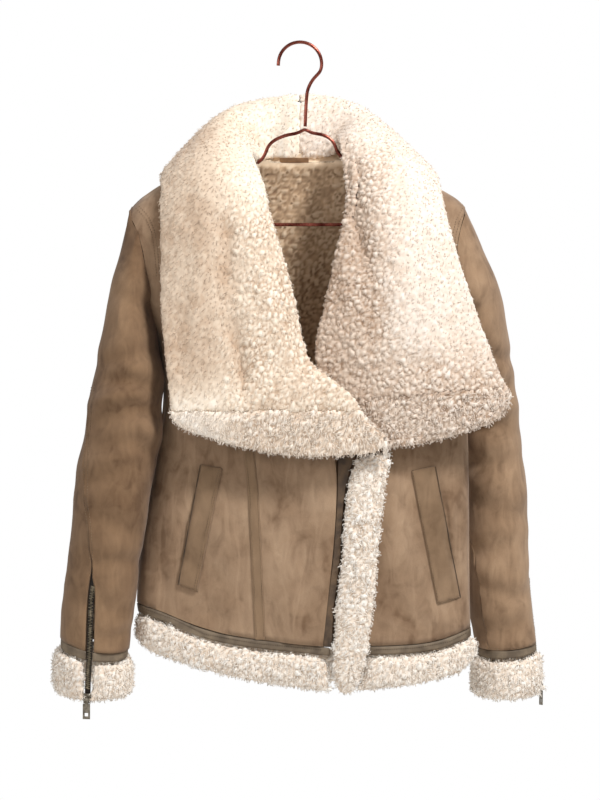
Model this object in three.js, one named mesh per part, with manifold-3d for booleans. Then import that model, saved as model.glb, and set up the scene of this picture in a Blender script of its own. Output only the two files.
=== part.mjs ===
// Shearling jacket on a wire hanger. Millimetres, +Z up, +X to the viewer's right, -Y towards the viewer.
// The origin is the highest point inside the hanger's hook.
import * as THREE from 'three';
import Module from 'manifold-3d';

const wasm = await Module();
wasm.setup();
const { Manifold, Mesh } = wasm;

// Driving sizes
const SEAM = 0.3;
const HIDE = 7;
const SLEEVE_HIDE = 6;
const COLLAR_THICK = 16;
const ARCH = 70;
const LAP = 9;
const ROUNDNESS = 3;
const BINDING_HEIGHT = 10.5;
const HEM_FUR = 19;
const CUFF_FUR = 19;
const STRIP_FUR = 20;
const WELT_RAISE = 2.2;
const TAPE_RAISE = 1.3;
const WIRE = 2.4;
const HOOK_RADIUS = 27.5;
const ZIP_GAP = 8;
const CHAIN_WIDTH = 5;
const ARMHOLE_SEAM = 0.5;
const HEM_SEAM = 0.9;

// Materials
const MATERIALS = {
  suede: { color: 0x967a5f, roughness: 0.95, metalness: 0 },
  binding: { color: 0x6e5c48, roughness: 0.6, metalness: 0 },
  fur: { color: 0xe1d0b9, roughness: 1, metalness: 0 },
  tape: { color: 0x2b2522, roughness: 0.9, metalness: 0 },
  brass: { color: 0x6d665c, roughness: 0.4, metalness: 1 },
  nickel: { color: 0x8d8578, roughness: 0.35, metalness: 1 },
  copper: { color: 0x82463a, roughness: 0.3, metalness: 1 },
  loop: { color: 0x8a6242, roughness: 0.6, metalness: 0 },
};
const materials = {};
for (const [name, values] of Object.entries(MATERIALS)) {
  materials[name] = new THREE.MeshStandardMaterial(values);
}

// Body sections, from the shoulders down to the hem
const BODY = [
  { z: -110, left: -262, right: 262, front: 53, back: 47 },
  { z: -216, left: -252, right: 262, front: 54, back: 48 },
  { z: -290, left: -215, right: 236, front: 55, back: 49 },
  { z: -340, left: -187, right: 211, front: 56, back: 50 },
  { z: -368, left: -177, right: 204, front: 56, back: 51 },
  { z: -449, left: -169, right: 210, front: 56, back: 51 },
  { z: -524, left: -180, right: 213, front: 56, back: 51 },
  { z: -574, left: -188, right: 213.5, front: 56, back: 51 },
  { z: -640, left: -198, right: 213.5, front: 57, back: 52 },
  { z: -700, left: -202, right: 213.5, front: 58, back: 53 },
  { z: -760, left: -199, right: 216, front: 59, back: 54 },
  { z: -830, left: -192, right: 216, front: 58, back: 53 },
];

// Height of the shoulder line over the width
const SHOULDER = [
  { x: -240, z: -228 },
  { x: -220, z: -216 },
  { x: -204, z: -197 },
  { x: -172, z: -175 },
  { x: -75, z: -138 },
  { x: 0, z: -112 },
  { x: 75, z: -138 },
  { x: 168, z: -178 },
  { x: 204, z: -199 },
  { x: 214, z: -216 },
  { x: 240, z: -232 },
];

// Armhole lines
const ARMHOLE_LEFT = [
  { z: -190, x: -217 },
  { z: -216, x: -216 },
  { z: -226, x: -209 },
  { z: -238, x: -203 },
  { z: -255, x: -198 },
  { z: -275, x: -194 },
  { z: -300, x: -190 },
  { z: -335, x: -184 },
  { z: -368, x: -177 },
];
const ARMHOLE_RIGHT = [
  { z: -190, x: 210 },
  { z: -214, x: 208 },
  { z: -226, x: 203 },
  { z: -238, x: 199 },
  { z: -255, x: 196 },
  { z: -275, x: 195 },
  { z: -300, x: 195 },
  { z: -335, x: 198 },
  { z: -368, x: 204 },
];

// Lines on the fronts that panels end at
const LEFT_SEAM = [
  { z: -150, x: -118 },
  { z: -300, x: -92 },
  { z: -420, x: -72 },
  { z: -514, x: -63 },
  { z: -566, x: -57.5 },
  { z: -614, x: -55 },
  { z: -671, x: -52.5 },
  { z: -746, x: -49 },
];
const LEFT_EDGE = [
  { z: -138, x: -78 },
  { z: -186, x: -56 },
  { z: -224, x: -48 },
  { z: -282, x: -28 },
  { z: -336, x: -14 },
  { z: -402, x: -4 },
  { z: -440, x: 8 },
  { z: -480, x: 30 },
  { z: -510, x: 46 },
  { z: -528, x: 46 },
  { z: -585, x: 44 },
  { z: -642, x: 40 },
  { z: -705, x: 32.5 },
  { z: -765, x: 26.5 },
];
const STRIP_LEFT = [
  { z: -496, x: 72 },
  { z: -520, x: 67.5 },
  { z: -540, x: 57.5 },
  { z: -587, x: 51 },
  { z: -640, x: 48.5 },
  { z: -709, x: 40 },
  { z: -760, x: 37.5 },
  { z: -795, x: 38 },
  { z: -817, x: 45 },
];
const STRIP_RIGHT = [
  { z: -496, x: 110 },
  { z: -518, x: 110 },
  { z: -556, x: 102.5 },
  { z: -627, x: 95 },
  { z: -700, x: 89 },
  { z: -755, x: 82.5 },
  { z: -791, x: 76 },
  { z: -817, x: 62 },
];
const RIGHT_EDGE = [
  { z: -138, x: 78 },
  { z: -155, x: 66 },
  { z: -203, x: 70 },
  { z: -252, x: 58 },
  { z: -291, x: 48 },
  { z: -346, x: 36 },
  { z: -402, x: 24 },
  { z: -470, x: 12 },
  { z: -530, x: 4 },
  { z: -800, x: 2 },
];
const BACK_NECK = [
  { x: -78, z: -139 },
  { x: -50, z: -146 },
  { x: 0, z: -149 },
  { x: 50, z: -146 },
  { x: 78, z: -139 },
];

// Lower edge of the panels and lower edge of the hem fur
const HEM = [
  { x: -205, z: -700 },
  { x: -194, z: -706 },
  { x: -155, z: -719 },
  { x: -117, z: -738 },
  { x: -54, z: -747 },
  { x: 26, z: -756 },
  { x: 80, z: -755 },
  { x: 144, z: -754 },
  { x: 186, z: -748 },
  { x: 212, z: -734 },
  { x: 220, z: -728 },
];
const HEM_FOOT = [
  { x: -215, z: -738 },
  { x: -196, z: -757 },
  { x: -184, z: -767 },
  { x: -136, z: -781 },
  { x: -100, z: -792 },
  { x: -12, z: -809 },
  { x: 37, z: -815 },
  { x: 76, z: -812 },
  { x: 100, z: -810 },
  { x: 144, z: -805 },
  { x: 201, z: -792 },
  { x: 220, z: -766 },
  { x: 226, z: -745 },
];

// Sleeve sections: outer and inner point in front view, depth centre, half depth, drop of the front
const SLEEVE_LEFT = [
  { outX: -216, outZ: -216, inX: -177, inZ: -368, midY: 0, half: 50, drop: 0 },
  { outX: -236, outZ: -284, inX: -177, inZ: -384, midY: -6, half: 52, drop: 0 },
  { outX: -244, outZ: -342, inX: -173, inZ: -404, midY: -16, half: 54, drop: 0 },
  { outX: -256, outZ: -393, inX: -169, inZ: -438, midY: -24, half: 53, drop: 0 },
  { outX: -261, outZ: -449, inX: -171, inZ: -480, midY: -33, half: 51, drop: 1 },
  { outX: -269, outZ: -499, inX: -178, inZ: -524, midY: -37, half: 49, drop: 2 },
  { outX: -279, outZ: -543, inX: -186, inZ: -566, midY: -38, half: 47, drop: 3 },
  { outX: -284, outZ: -591, inX: -194, inZ: -612, midY: -38, half: 45, drop: 4 },
  { outX: -287.5, outZ: -652, inX: -203, inZ: -665, midY: -37, half: 43, drop: 6 },
  { outX: -297, outZ: -699, inX: -209, inZ: -711, midY: -35, half: 41, drop: 8 },
  { outX: -299, outZ: -744, inX: -214, inZ: -758, midY: -32, half: 40, drop: 10 },
  { outX: -302, outZ: -779, inX: -215, inZ: -789, midY: -31, half: 40, drop: 11 },
  { outX: -303, outZ: -814, inX: -215, inZ: -818, midY: -30, half: 39, drop: 8 },
];
const SLEEVE_RIGHT = [
  { outX: 208, outZ: -214, inX: 204, inZ: -368, midY: 0, half: 50, drop: 0 },
  { outX: 241, outZ: -272, inX: 206.5, inZ: -386, midY: 8, half: 51, drop: 0 },
  { outX: 258, outZ: -330, inX: 206, inZ: -414, midY: 22, half: 52, drop: 0 },
  { outX: 269, outZ: -395, inX: 207, inZ: -449, midY: 38, half: 50, drop: 0 },
  { outX: 277.5, outZ: -450, inX: 207, inZ: -486, midY: 47, half: 48, drop: 1 },
  { outX: 284, outZ: -511, inX: 207, inZ: -536, midY: 50, half: 46, drop: 2 },
  { outX: 289, outZ: -561, inX: 208, inZ: -580, midY: 51, half: 44, drop: 3 },
  { outX: 291, outZ: -611, inX: 210, inZ: -626, midY: 51, half: 43, drop: 4 },
  { outX: 292, outZ: -664, inX: 213, inZ: -676, midY: 51, half: 41, drop: 5 },
  { outX: 296, outZ: -711, inX: 218, inZ: -721, midY: 51, half: 39, drop: 6 },
  { outX: 301, outZ: -756, inX: 225, inZ: -762, midY: 50, half: 38, drop: 7 },
  { outX: 303, outZ: -790, inX: 225, inZ: -795, midY: 49, half: 38, drop: 8 },
  { outX: 303, outZ: -824, inX: 224, inZ: -826, midY: 48, half: 37, drop: 7 },
];

// Angles of the two long sleeve seams, 0 at the outer side, 90 at the front, 180 at the inner side
const SEAMS_LEFT = [
  { s: 0, zip: -55, under: 216 },
  { s: 3, zip: -14, under: 216 },
  { s: 4, zip: 8, under: 216 },
  { s: 5, zip: 27, under: 216 },
  { s: 6.5, zip: 50, under: 216 },
  { s: 7.3, zip: 66, under: 216 },
  { s: 8, zip: 75, under: 216 },
  { s: 9, zip: 83, under: 216 },
  { s: 10, zip: 85, under: 216 },
  { s: 12, zip: 85, under: 216 },
];
const SEAMS_RIGHT = [
  { s: 0, zip: -40, under: 190 },
  { s: 4, zip: -26, under: 184 },
  { s: 6, zip: -14, under: 162 },
  { s: 7, zip: -10, under: 144 },
  { s: 8, zip: -8, under: 130 },
  { s: 10, zip: -6, under: 128 },
  { s: 12, zip: -18, under: 128 },
];

// Collar sections from the centre back round to the front corner: five points across the middle of the fur
const COLLAR_LEFT = [
  { at: [[0, 46, -144], [0, 50, -100], [0, 64, -54], [0, 84, -104], [0, 72, -212]] },
  { at: [[-38, 40, -144], [-48, 44, -104], [-60, 60, -64], [-78, 82, -116], [-84, 72, -218]] },
  { at: [[-54, 20, -148], [-72, 26, -112], [-96, 44, -78], [-122, 66, -130], [-140, 60, -222]] },
  { at: [[-60, -6, -137], [-84, 2, -118], [-114, 16, -100], [-150, 36, -138], [-174, 38, -198]] },
  { at: [[-50, -30, -164], [-80, -24, -138], [-116, -16, -124], [-150, -8, -142], [-176, -6, -166]] },
  { at: [[-40, -48, -190], [-74, -62, -172], [-110, -64, -166], [-145, -58, -180], [-176, -48, -212]] },
  { at: [[-34, -56, -226], [-70, -72, -222], [-105, -76, -228], [-140, -72, -245], [-175, -58, -275]] },
  { at: [[-14, -62, -284], [-55, -76, -286], [-95, -80, -298], [-135, -78, -318], [-175, -66, -342]] },
  { at: [[-1, -66, -338], [-45, -80, -346], [-88, -84, -360], [-130, -83, -378], [-169, -76, -393]] },
  { at: [[12, -70, -402], [-30, -83, -412], [-75, -87, -428], [-118, -88, -445], [-162, -82, -461]] },
  { at: [[45, -86, -423], [0, -90, -438], [-50, -91, -455], [-100, -91, -470], [-155, -85, -485]] },
  { at: [[71, -88, -449], [38, -90, -464], [5, -91, -480], [-30, -91, -495], [-67, -88, -511]] },
  { at: [[87, -88, -478], [72, -89, -488], [55, -90, -500], [36, -90, -511], [16, -88, -522]] },
  { at: [[111, -87, -492], [110, -87, -497], [110, -87, -503], [109, -87, -508], [108, -86, -514]] },
];
const COLLAR_RIGHT = [
  { at: [[0, 46, -144], [0, 50, -100], [0, 64, -54], [0, 84, -104], [0, 72, -212]] },
  { at: [[36, 40, -142], [46, 44, -102], [58, 60, -62], [74, 82, -114], [84, 72, -216]] },
  { at: [[48, 20, -134], [62, 26, -104], [86, 44, -80], [112, 66, -128], [140, 60, -220]] },
  { at: [[46, -8, -122], [70, 0, -106], [104, 16, -102], [140, 36, -138], [172, 38, -200]] },
  { at: [[51, -32, -155], [80, -28, -134], [112, -20, -122], [146, -10, -142], [174, -6, -168]] },
  { at: [[58, -48, -200], [88, -60, -182], [120, -62, -172], [150, -58, -182], [180, -46, -208]] },
  { at: [[47, -54, -252], [85, -70, -244], [122, -74, -240], [160, -70, -242], [192, -56, -250]] },
  { at: [[37, -60, -291], [80, -74, -288], [122, -78, -286], [165, -74, -288], [206, -60, -296]] },
  { at: [[26, -64, -345], [75, -76, -346], [125, -79, -347], [176, -76, -349], [226, -64, -352]] },
  { at: [[14, -66, -390], [70, -74, -394], [130, -78, -398], [188, -76, -402], [245, -64, -406]] },
  { at: [[28, -65, -436], [85, -71, -438], [145, -76, -440], [205, -74, -443], [263, -62, -446]] },
  { at: [[56, -65, -470], [105, -70, -468], [155, -74, -466], [208, -73, -466], [256, -62, -466]] },
  { at: [[75, -65, -493], [114, -69, -489], [154, -72, -486], [196, -71, -483], [234, -64, -480]] },
  { at: [[94, -65, -506], [112, -68, -503], [132, -70, -501], [153, -70, -498], [175, -67, -496]] },
  { at: [[106, -66, -512], [109, -68, -511], [114, -69, -510], [120, -69, -509], [128, -68, -508]] },
];

// Collar trim seams: height at x = 0 and slope
const TRIM_LEFT = { z: -463, slope: 0 };
const TRIM_RIGHT = { z: -452, slope: 0.07 };

// Pocket welts, corners in front view
const POCKET_LEFT = {
  topLeft: [-122.5, -529],
  topRight: [-96, -534],
  lowRight: [-127.5, -687],
  lowLeft: [-150, -679],
};
const POCKET_RIGHT = {
  topLeft: [137.5, -537],
  topRight: [167.5, -531],
  lowRight: [199, -695],
  lowLeft: [170, -702],
};

// Hanger frame, middle of the wire in front view
const FRAME = [
  { x: 6, z: -107 },
  { x: 13, z: -112 },
  { x: 30, z: -115 },
  { x: 42, z: -123 },
  { x: 48, z: -138 },
  { x: 75, z: -158 },
  { x: 120, z: -170.8 },
  { x: 168, z: -191.2 },
  { x: 189, z: -204.5 },
  { x: 193, z: -218 },
  { x: 182, z: -228 },
  { x: 90, z: -228 },
  { x: -80, z: -228 },
  { x: -170, z: -228 },
  { x: -181, z: -218 },
  { x: -177, z: -205 },
  { x: -162, z: -184.8 },
  { x: -115, z: -166.9 },
  { x: -75, z: -159 },
  { x: -48, z: -146 },
  { x: -38, z: -126 },
  { x: -20, z: -116 },
  { x: -1, z: -112 },
];

// Small maths
const clamp = (v, low, high) => Math.min(high, Math.max(low, v));
const mix = (a, b, t) => a + (b - a) * t;
const smooth = (t) => {
  const c = clamp(t, 0, 1);
  return c * c * (3 - 2 * c);
};

// Value of one column of a table where another column has a given value
function look(table, key, at, column) {
  const rising = table[table.length - 1][key] > table[0][key];
  for (let i = 0; i < table.length - 1; i += 1) {
    const a = table[i];
    const b = table[i + 1];
    const past = rising ? at > b[key] : at < b[key];
    if (past && i < table.length - 2) continue;
    const t = clamp((at - a[key]) / (b[key] - a[key]), 0, 1);
    return mix(a[column], b[column], t);
  }
  return table[0][column];
}

// Smooth value of one column at a fractional row
function row(table, s, column) {
  const last = table.length - 1;
  const i = clamp(Math.floor(s), 0, last - 1);
  const t = s - i;
  const p = [-1, 0, 1, 2].map((k) => table[clamp(i + k, 0, last)][column]);
  const m0 = (p[2] - p[0]) / 2;
  const m1 = (p[3] - p[1]) / 2;
  const t2 = t * t;
  const t3 = t2 * t;
  return (2 * t3 - 3 * t2 + 1) * p[1] + (t3 - 2 * t2 + t) * m0 + (3 * t2 - 2 * t3) * p[2] + (t3 - t2) * m1;
}

// Closed wall between two grids of points
function wall(outer, inner) {
  const n = outer.length;
  const m = outer[0].length;
  const points = [];
  for (const grid of [outer, inner]) {
    for (const line of grid) points.push(...line);
  }
  const id = (g, i, j) => g * n * m + i * m + j;
  const faces = [];
  const quad = (a, b, c, d) => faces.push(a, b, c, a, c, d);
  for (let i = 0; i < n - 1; i += 1) {
    for (let j = 0; j < m - 1; j += 1) {
      quad(id(0, i, j), id(0, i + 1, j), id(0, i + 1, j + 1), id(0, i, j + 1));
      quad(id(1, i, j), id(1, i, j + 1), id(1, i + 1, j + 1), id(1, i + 1, j));
    }
  }
  for (let i = 0; i < n - 1; i += 1) {
    quad(id(0, i, 0), id(1, i, 0), id(1, i + 1, 0), id(0, i + 1, 0));
    quad(id(0, i, m - 1), id(0, i + 1, m - 1), id(1, i + 1, m - 1), id(1, i, m - 1));
  }
  for (let j = 0; j < m - 1; j += 1) {
    quad(id(0, 0, j), id(0, 0, j + 1), id(1, 0, j + 1), id(1, 0, j));
    quad(id(0, n - 1, j), id(1, n - 1, j), id(1, n - 1, j + 1), id(0, n - 1, j + 1));
  }
  return solidFrom(points, faces);
}

// Manifold solid from shared points, turned to face out
function solidFrom(points, faces) {
  let volume = 0;
  for (let k = 0; k < faces.length; k += 3) {
    const [a, b, c] = [points[faces[k]], points[faces[k + 1]], points[faces[k + 2]]];
    volume += a.dot(new THREE.Vector3().crossVectors(b, c));
  }
  if (volume < 0) faces.reverse();
  const vertProperties = new Float32Array(points.length * 3);
  points.forEach((p, k) => p.toArray(vertProperties, k * 3));
  return new Manifold(new Mesh({ numProp: 3, vertProperties, triVerts: new Uint32Array(faces) }));
}

// Named mesh from a manifold solid
function meshOf(name, material, solid) {
  const data = solid.getMesh();
  const geometry = new THREE.BufferGeometry();
  const points = new Float32Array((data.vertProperties.length / data.numProp) * 3);
  for (let k = 0; k < points.length / 3; k += 1) {
    for (let c = 0; c < 3; c += 1) points[k * 3 + c] = data.vertProperties[k * data.numProp + c];
  }
  geometry.setAttribute('position', new THREE.BufferAttribute(points, 3));
  geometry.setIndex(new THREE.BufferAttribute(new Uint32Array(data.triVerts), 1));
  geometry.computeVertexNormals();
  const mesh = new THREE.Mesh(geometry, materials[material]);
  mesh.name = name;
  return mesh;
}

// Largest body of a solid
function biggest(solid) {
  const parts = solid.decompose();
  parts.sort((a, b) => b.volume() - a.volume());
  return parts[0];
}

// Point of the torso: side -1 front or 1 back, inset into the cloth, negative outwards
function torso(side, x, z, inset) {
  const left = look(BODY, 'z', z, 'left');
  const right = look(BODY, 'z', z, 'right');
  const depth = look(BODY, 'z', z, side < 0 ? 'front' : 'back');
  const middle = (left + right) / 2;
  const half = (right - left) / 2;
  const e = clamp((x - middle) / half, -1, 1);
  const shape = (1 - Math.abs(e) ** ROUNDNESS) ** (1 / ROUNDNESS);
  const below = look(SHOULDER, 'x', x, 'z') - z;
  const up = clamp((ARCH - below) / (ARCH - inset), 0, 1);
  const arch = Math.sqrt(1 - up * up);
  const y = side * (SEAM / 2 + Math.max(0, depth - inset) * shape * arch);
  return new THREE.Vector3(middle + (half - inset) * e, y, z);
}

// Angle-like position across the front, so that points gather at the sides
function toTurn(x, z) {
  const left = look(BODY, 'z', z, 'left');
  const right = look(BODY, 'z', z, 'right');
  const e = clamp((x - (left + right) / 2) / ((right - left) / 2), -1, 1);
  return Math.asin(Math.sign(e) * Math.abs(e) ** (ROUNDNESS / 2));
}
function fromTurn(turn, z) {
  const left = look(BODY, 'z', z, 'left');
  const right = look(BODY, 'z', z, 'right');
  const sine = Math.sin(turn);
  const e = Math.sign(sine) * Math.abs(sine) ** (2 / ROUNDNESS);
  return (left + right) / 2 + ((right - left) / 2) * e;
}

// Torso panel: lines give x over height at both sides, top and low give height over x
function panel(side, spec) {
  const { from, to, low, top, cols, outer, inner, lap = 0 } = spec;
  const shell = (inset, cap) => {
    const grid = [];
    for (let i = 0; i <= cols; i += 1) {
      const across = i / cols;
      const xAt = (z) => {
        const a = toTurn(from(z) + SEAM / 2, z);
        const b = toTurn(to(z) - SEAM / 2, z);
        return fromTurn(mix(a, b, across), z);
      };
      let zTop = -180;
      let zLow = -740;
      for (let k = 0; k < 12; k += 1) {
        zTop = mix(zTop, top(xAt(zTop)), 0.7);
        zLow = mix(zLow, low(xAt(zLow)), 0.7);
      }
      const points = [];
      for (let j = 0; j <= PANEL_ROWS; j += 1) {
        const z = heightAt(zTop - cap, zLow + SEAM / 2, j);
        const x = xAt(z);
        const raise = lap * smooth((x + 38) / 36);
        points.push(torso(side, x, z, inset - raise));
      }
      grid.push(points);
    }
    return grid;
  };
  return wall(shell(outer, Math.max(0, outer)), shell(inner, Math.max(0, inner)));
}

// Heights of the rows below the shoulder fold, and shares of the way from the underarm to the hem
const ROW_HEIGHTS = [-290, -322, -347, -361, -369];
const ROW_SHARES = [0.08, 0.2, 0.36, 0.52, 0.68, 0.84, 1];
const FOLD_ROWS = 4;
const PANEL_ROWS = FOLD_ROWS + ROW_HEIGHTS.length + ROW_SHARES.length;

// Height of a row of a panel, closer together over the shoulder and at the underarm
function heightAt(top, low, j) {
  const fold = top - ARCH * 0.9;
  const share = (1 - Math.cos((j / FOLD_ROWS) * 1.45)) / (1 - Math.cos(1.45));
  if (j <= FOLD_ROWS) return top - (top - fold) * share;
  const k = j - FOLD_ROWS - 1;
  if (k < ROW_HEIGHTS.length) return ROW_HEIGHTS[k];
  return mix(-369, low, ROW_SHARES[k - ROW_HEIGHTS.length]);
}

const hemAt = (x) => {
  const steps = [-24, -12, 0, 12, 24];
  return steps.reduce((sum, step) => sum + look(HEM, 'x', x + step, 'z'), 0) / steps.length;
};
const footAt = (x) => look(HEM_FOOT, 'x', x, 'z');
const shoulderAt = (x) => look(SHOULDER, 'x', x, 'z');
const UNDERARM = -368;
function leftSide(z) {
  return z > UNDERARM ? look(ARMHOLE_LEFT, 'z', z, 'x') + ARMHOLE_SEAM : look(BODY, 'z', z, 'left');
}
function rightSide(z) {
  return z > UNDERARM ? look(ARMHOLE_RIGHT, 'z', z, 'x') - ARMHOLE_SEAM : look(BODY, 'z', z, 'right');
}
const line = (table) => (z) => look(table, 'z', z, 'x');

// Panels of the body, with a given pair of insets
function bodyPanels(outer, inner) {
  const common = { low: (x) => hemAt(x) + HEM_SEAM, outer, inner };
  return {
    front_left_side: panel(-1, {
      ...common, from: leftSide, to: line(LEFT_SEAM), top: shoulderAt, cols: 6,
    }),
    front_left_centre: panel(-1, {
      ...common, from: line(LEFT_SEAM), to: line(LEFT_EDGE), top: shoulderAt, cols: 6, lap: LAP,
    }),
    front_right: panel(-1, {
      ...common, from: line(RIGHT_EDGE), to: rightSide, top: shoulderAt, cols: 9,
    }),
    back: panel(1, {
      ...common, from: leftSide, to: rightSide, cols: 16,
      top: (x) => (Math.abs(x) < 78 ? look(BACK_NECK, 'x', x, 'z') : shoulderAt(x)),
    }),
  };
}

// Flat-lying piece on the torso between four lines
function laid(side, spec) {
  const { corner, cols, rows, outer, inner, lap = 0 } = spec;
  const shell = (inset) => {
    const grid = [];
    for (let i = 0; i <= cols; i += 1) {
      const points = [];
      for (let j = 0; j <= rows; j += 1) {
        const [x, z] = corner(i / cols, j / rows);
        const raise = lap * smooth((x + 38) / 36);
        const deep = typeof inset === 'function' ? inset(i / cols, j / rows) : inset;
        points.push(torso(side, x, z, deep - raise));
      }
      grid.push(points);
    }
    return grid;
  };
  return wall(shell(outer), shell(inner));
}

// Rounding of a fur piece near its free edges, 1 inside and about a third at the rim
function bulge(part, rim, start, end) {
  const near = Math.min(start ? part : 1, end ? 1 - part : 1);
  const k = clamp(near / rim, 0, 1);
  return 0.35 + 0.65 * Math.sqrt(1 - (1 - k) ** 2);
}

const spread = (part, rim) => {
  const marks = [0, rim * 0.3, rim, 0.5, 1 - rim, 1 - rim * 0.3, 1];
  const at = part * 6;
  const i = Math.min(5, Math.floor(at));
  return mix(marks[i], marks[i + 1], at - i);
};

// Hem band between two heights
function hemBand(side, from, to, high, low, outer, inner, cols, rows, lap) {
  return laid(side, {
    corner: (a, b) => {
      let x = 0;
      let z = -745;
      for (let k = 0; k < 8; k += 1) {
        x = fromTurn(mix(toTurn(from(z) + SEAM / 2, z), toTurn(to(z) - SEAM / 2, z), a), z);
        z = mix(z, mix(high(x), low(x), b), 0.8);
      }
      return [x, z];
    },
    cols, rows, outer, inner, lap,
  });
}

// Hem: binding and fur all round, broken at the front strip
const beforeStrip = (z) => look(STRIP_LEFT, 'z', z, 'x') - 0.8;
const afterStrip = (z) => look(STRIP_RIGHT, 'z', z, 'x') + 0.8;
function hemPieces() {
  const bandTop = (x) => hemAt(x) - SEAM / 2;
  const bandLow = (x) => hemAt(x) - BINDING_HEIGHT;
  const furTop = (x) => hemAt(x) - BINDING_HEIGHT - SEAM;
  const leftEnd = (z) => look(BODY, 'z', z, 'left');
  const rightEnd = (z) => look(BODY, 'z', z, 'right');
  const half = HEM_FUR / 2;
  const middle = HIDE / 2 - 4;
  const furOuter = (a, b) => middle - half * bulge(b, 0.35, true, true);
  const furInner = (a, b) => middle + half * bulge(b, 0.35, true, true);
  return {
    hem_binding_left: hemBand(-1, leftEnd, beforeStrip, bandTop, bandLow, -0.6, HIDE, 9, 1, LAP),
    hem_binding_right: hemBand(-1, afterStrip, rightEnd, bandTop, bandLow, -0.6, HIDE, 7, 1, 0),
    hem_binding_back: hemBand(1, leftEnd, rightEnd, bandTop, bandLow, -0.6, HIDE, 14, 1, 0),
    hem_fur_left: hemBand(-1, leftEnd, beforeStrip, furTop, footAt, furOuter, furInner, 9, 6, LAP),
    hem_fur_right: hemBand(-1, afterStrip, rightEnd, furTop, footAt, furOuter, furInner, 7, 6, 0),
    hem_fur_back: hemBand(1, leftEnd, rightEnd, furTop, footAt, furOuter, furInner, 14, 6, 0),
  };
}

// Strip of fur down the front edge, with the leather binding beside it
function frontEdge() {
  const across = (a) => bulge(spread(a, 0.3), 0.3, true, true);
  const half = (a, b) => (STRIP_FUR / 2) * across(a) * bulge(b, 0.06, true, true);
  const fur = laid(-1, {
    corner: (a, b) => {
      const z = mix(-512, -816, b);
      const part = spread(a, 0.3);
      return [mix(look(STRIP_LEFT, 'z', z, 'x'), look(STRIP_RIGHT, 'z', z, 'x'), part), z];
    },
    cols: 6,
    rows: 14,
    outer: (a, b) => -10.8 - half(a, b),
    inner: (a, b) => -10.8 + half(a, b),
  });
  const binding = laid(-1, {
    corner: (a, b) => {
      const z = mix(-508, hemAt(30) + HEM_SEAM, b);
      const from = look(LEFT_EDGE, 'z', z, 'x') + SEAM / 2;
      return [mix(from, look(STRIP_LEFT, 'z', z, 'x') + 2, a), z];
    },
    cols: 2,
    rows: 12,
    outer: -0.3,
    inner: HIDE - 0.4,
    lap: LAP,
  });
  return { front_fur: fur, front_binding: binding };
}

// Solid cut clear of others, which are also moved by the seam width along the given axes
const ALL_WAYS = [[1, 0, 0], [-1, 0, 0], [0, 1, 0], [0, -1, 0], [0, 0, 1], [0, 0, -1]];
function clearOf(solid, others, ways) {
  let rest = solid;
  for (const other of others) {
    if (rest.minGap(other, SEAM) >= SEAM * 0.9) continue;
    for (const way of ways) rest = rest.subtract(other.translate(way.map((v) => v * SEAM)));
    rest = rest.subtract(other);
    rest = biggest(biggest(rest).simplify(0.005));
  }
  return rest;
}

// Cut named solids clear of others
function yieldTo(solids, names, others, ways = ALL_WAYS) {
  const near = others.map((other) => solids[other]);
  for (const name of names) solids[name] = clearOf(solids[name], near, ways);
}

// Welt over a pocket, and tape over the left front seam
function trims() {
  const welt = (c) => laid(-1, {
    corner: (a, b) => [
      mix(mix(c.topLeft[0], c.topRight[0], a), mix(c.lowLeft[0], c.lowRight[0], a), b),
      mix(mix(c.topLeft[1], c.topRight[1], a), mix(c.lowLeft[1], c.lowRight[1], a), b),
    ],
    cols: 2,
    rows: 8,
    outer: -SEAM - WELT_RAISE,
    inner: -SEAM,
  });
  const tape = laid(-1, {
    corner: (a, b) => {
      const z = mix(-500, hemAt(-50) + HEM_SEAM, b);
      return [look(LEFT_SEAM, 'z', z, 'x') + mix(-6.2, 6.2, a), z];
    },
    cols: 2,
    rows: 10,
    outer: -SEAM - TAPE_RAISE,
    inner: -SEAM,
    lap: LAP,
  });
  return {
    pocket_welt_left: welt(POCKET_LEFT),
    pocket_welt_right: welt(POCKET_RIGHT),
    seam_tape_left: tape,
  };
}

// Sleeve point: s along the table, turn in degrees, inset into the cloth
function sleeve(arm, s, turn, inset) {
  const angle = THREE.MathUtils.degToRad(turn);
  const get = (column) => row(arm.table, s, column);
  const middle = (a, b) => (get(a) + get(b)) / 2;
  const mid = new THREE.Vector3(middle('outX', 'inX'), get('midY'), middle('outZ', 'inZ'));
  const reach = new THREE.Vector3(get('outX') - mid.x, 0, get('outZ') - mid.z);
  const long = reach.length();
  const side = Math.cos(angle);
  const fore = Math.sin(angle);
  const point = mid.clone().addScaledVector(reach, (side * (long - inset)) / long);
  point.y -= fore * (get('half') - inset);
  point.z -= get('drop') * fore;
  if (s >= 1.6) return point;
  const tip = arm.armhole[1].z;
  const low = arm.armhole[arm.armhole.length - 1].z;
  const z = (tip + low) / 2 + ((tip - low) / 2) * side;
  const root = torso(fore > 0 ? -1 : 1, look(arm.armhole, 'z', z, 'x'), z, 0);
  const inwards = new THREE.Vector3(0, -root.y, (tip + low) / 2 - z).normalize();
  root.addScaledVector(inwards, inset);
  return root.lerp(point, smooth(s / 1.6));
}
const ARM_LEFT = { table: SLEEVE_LEFT, armhole: ARMHOLE_LEFT, seams: SEAMS_LEFT, zipTop: 8.05 };
const ARM_RIGHT = { table: SLEEVE_RIGHT, armhole: ARMHOLE_RIGHT, seams: SEAMS_RIGHT, zipTop: 8.05 };

// Degrees of turn that a length takes at a place on the sleeve
function degreesFor(arm, s, turn, length) {
  const a = sleeve(arm, s, turn - 1, 0);
  const b = sleeve(arm, s, turn + 1, 0);
  return (2 * length) / a.distanceTo(b);
}

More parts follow.
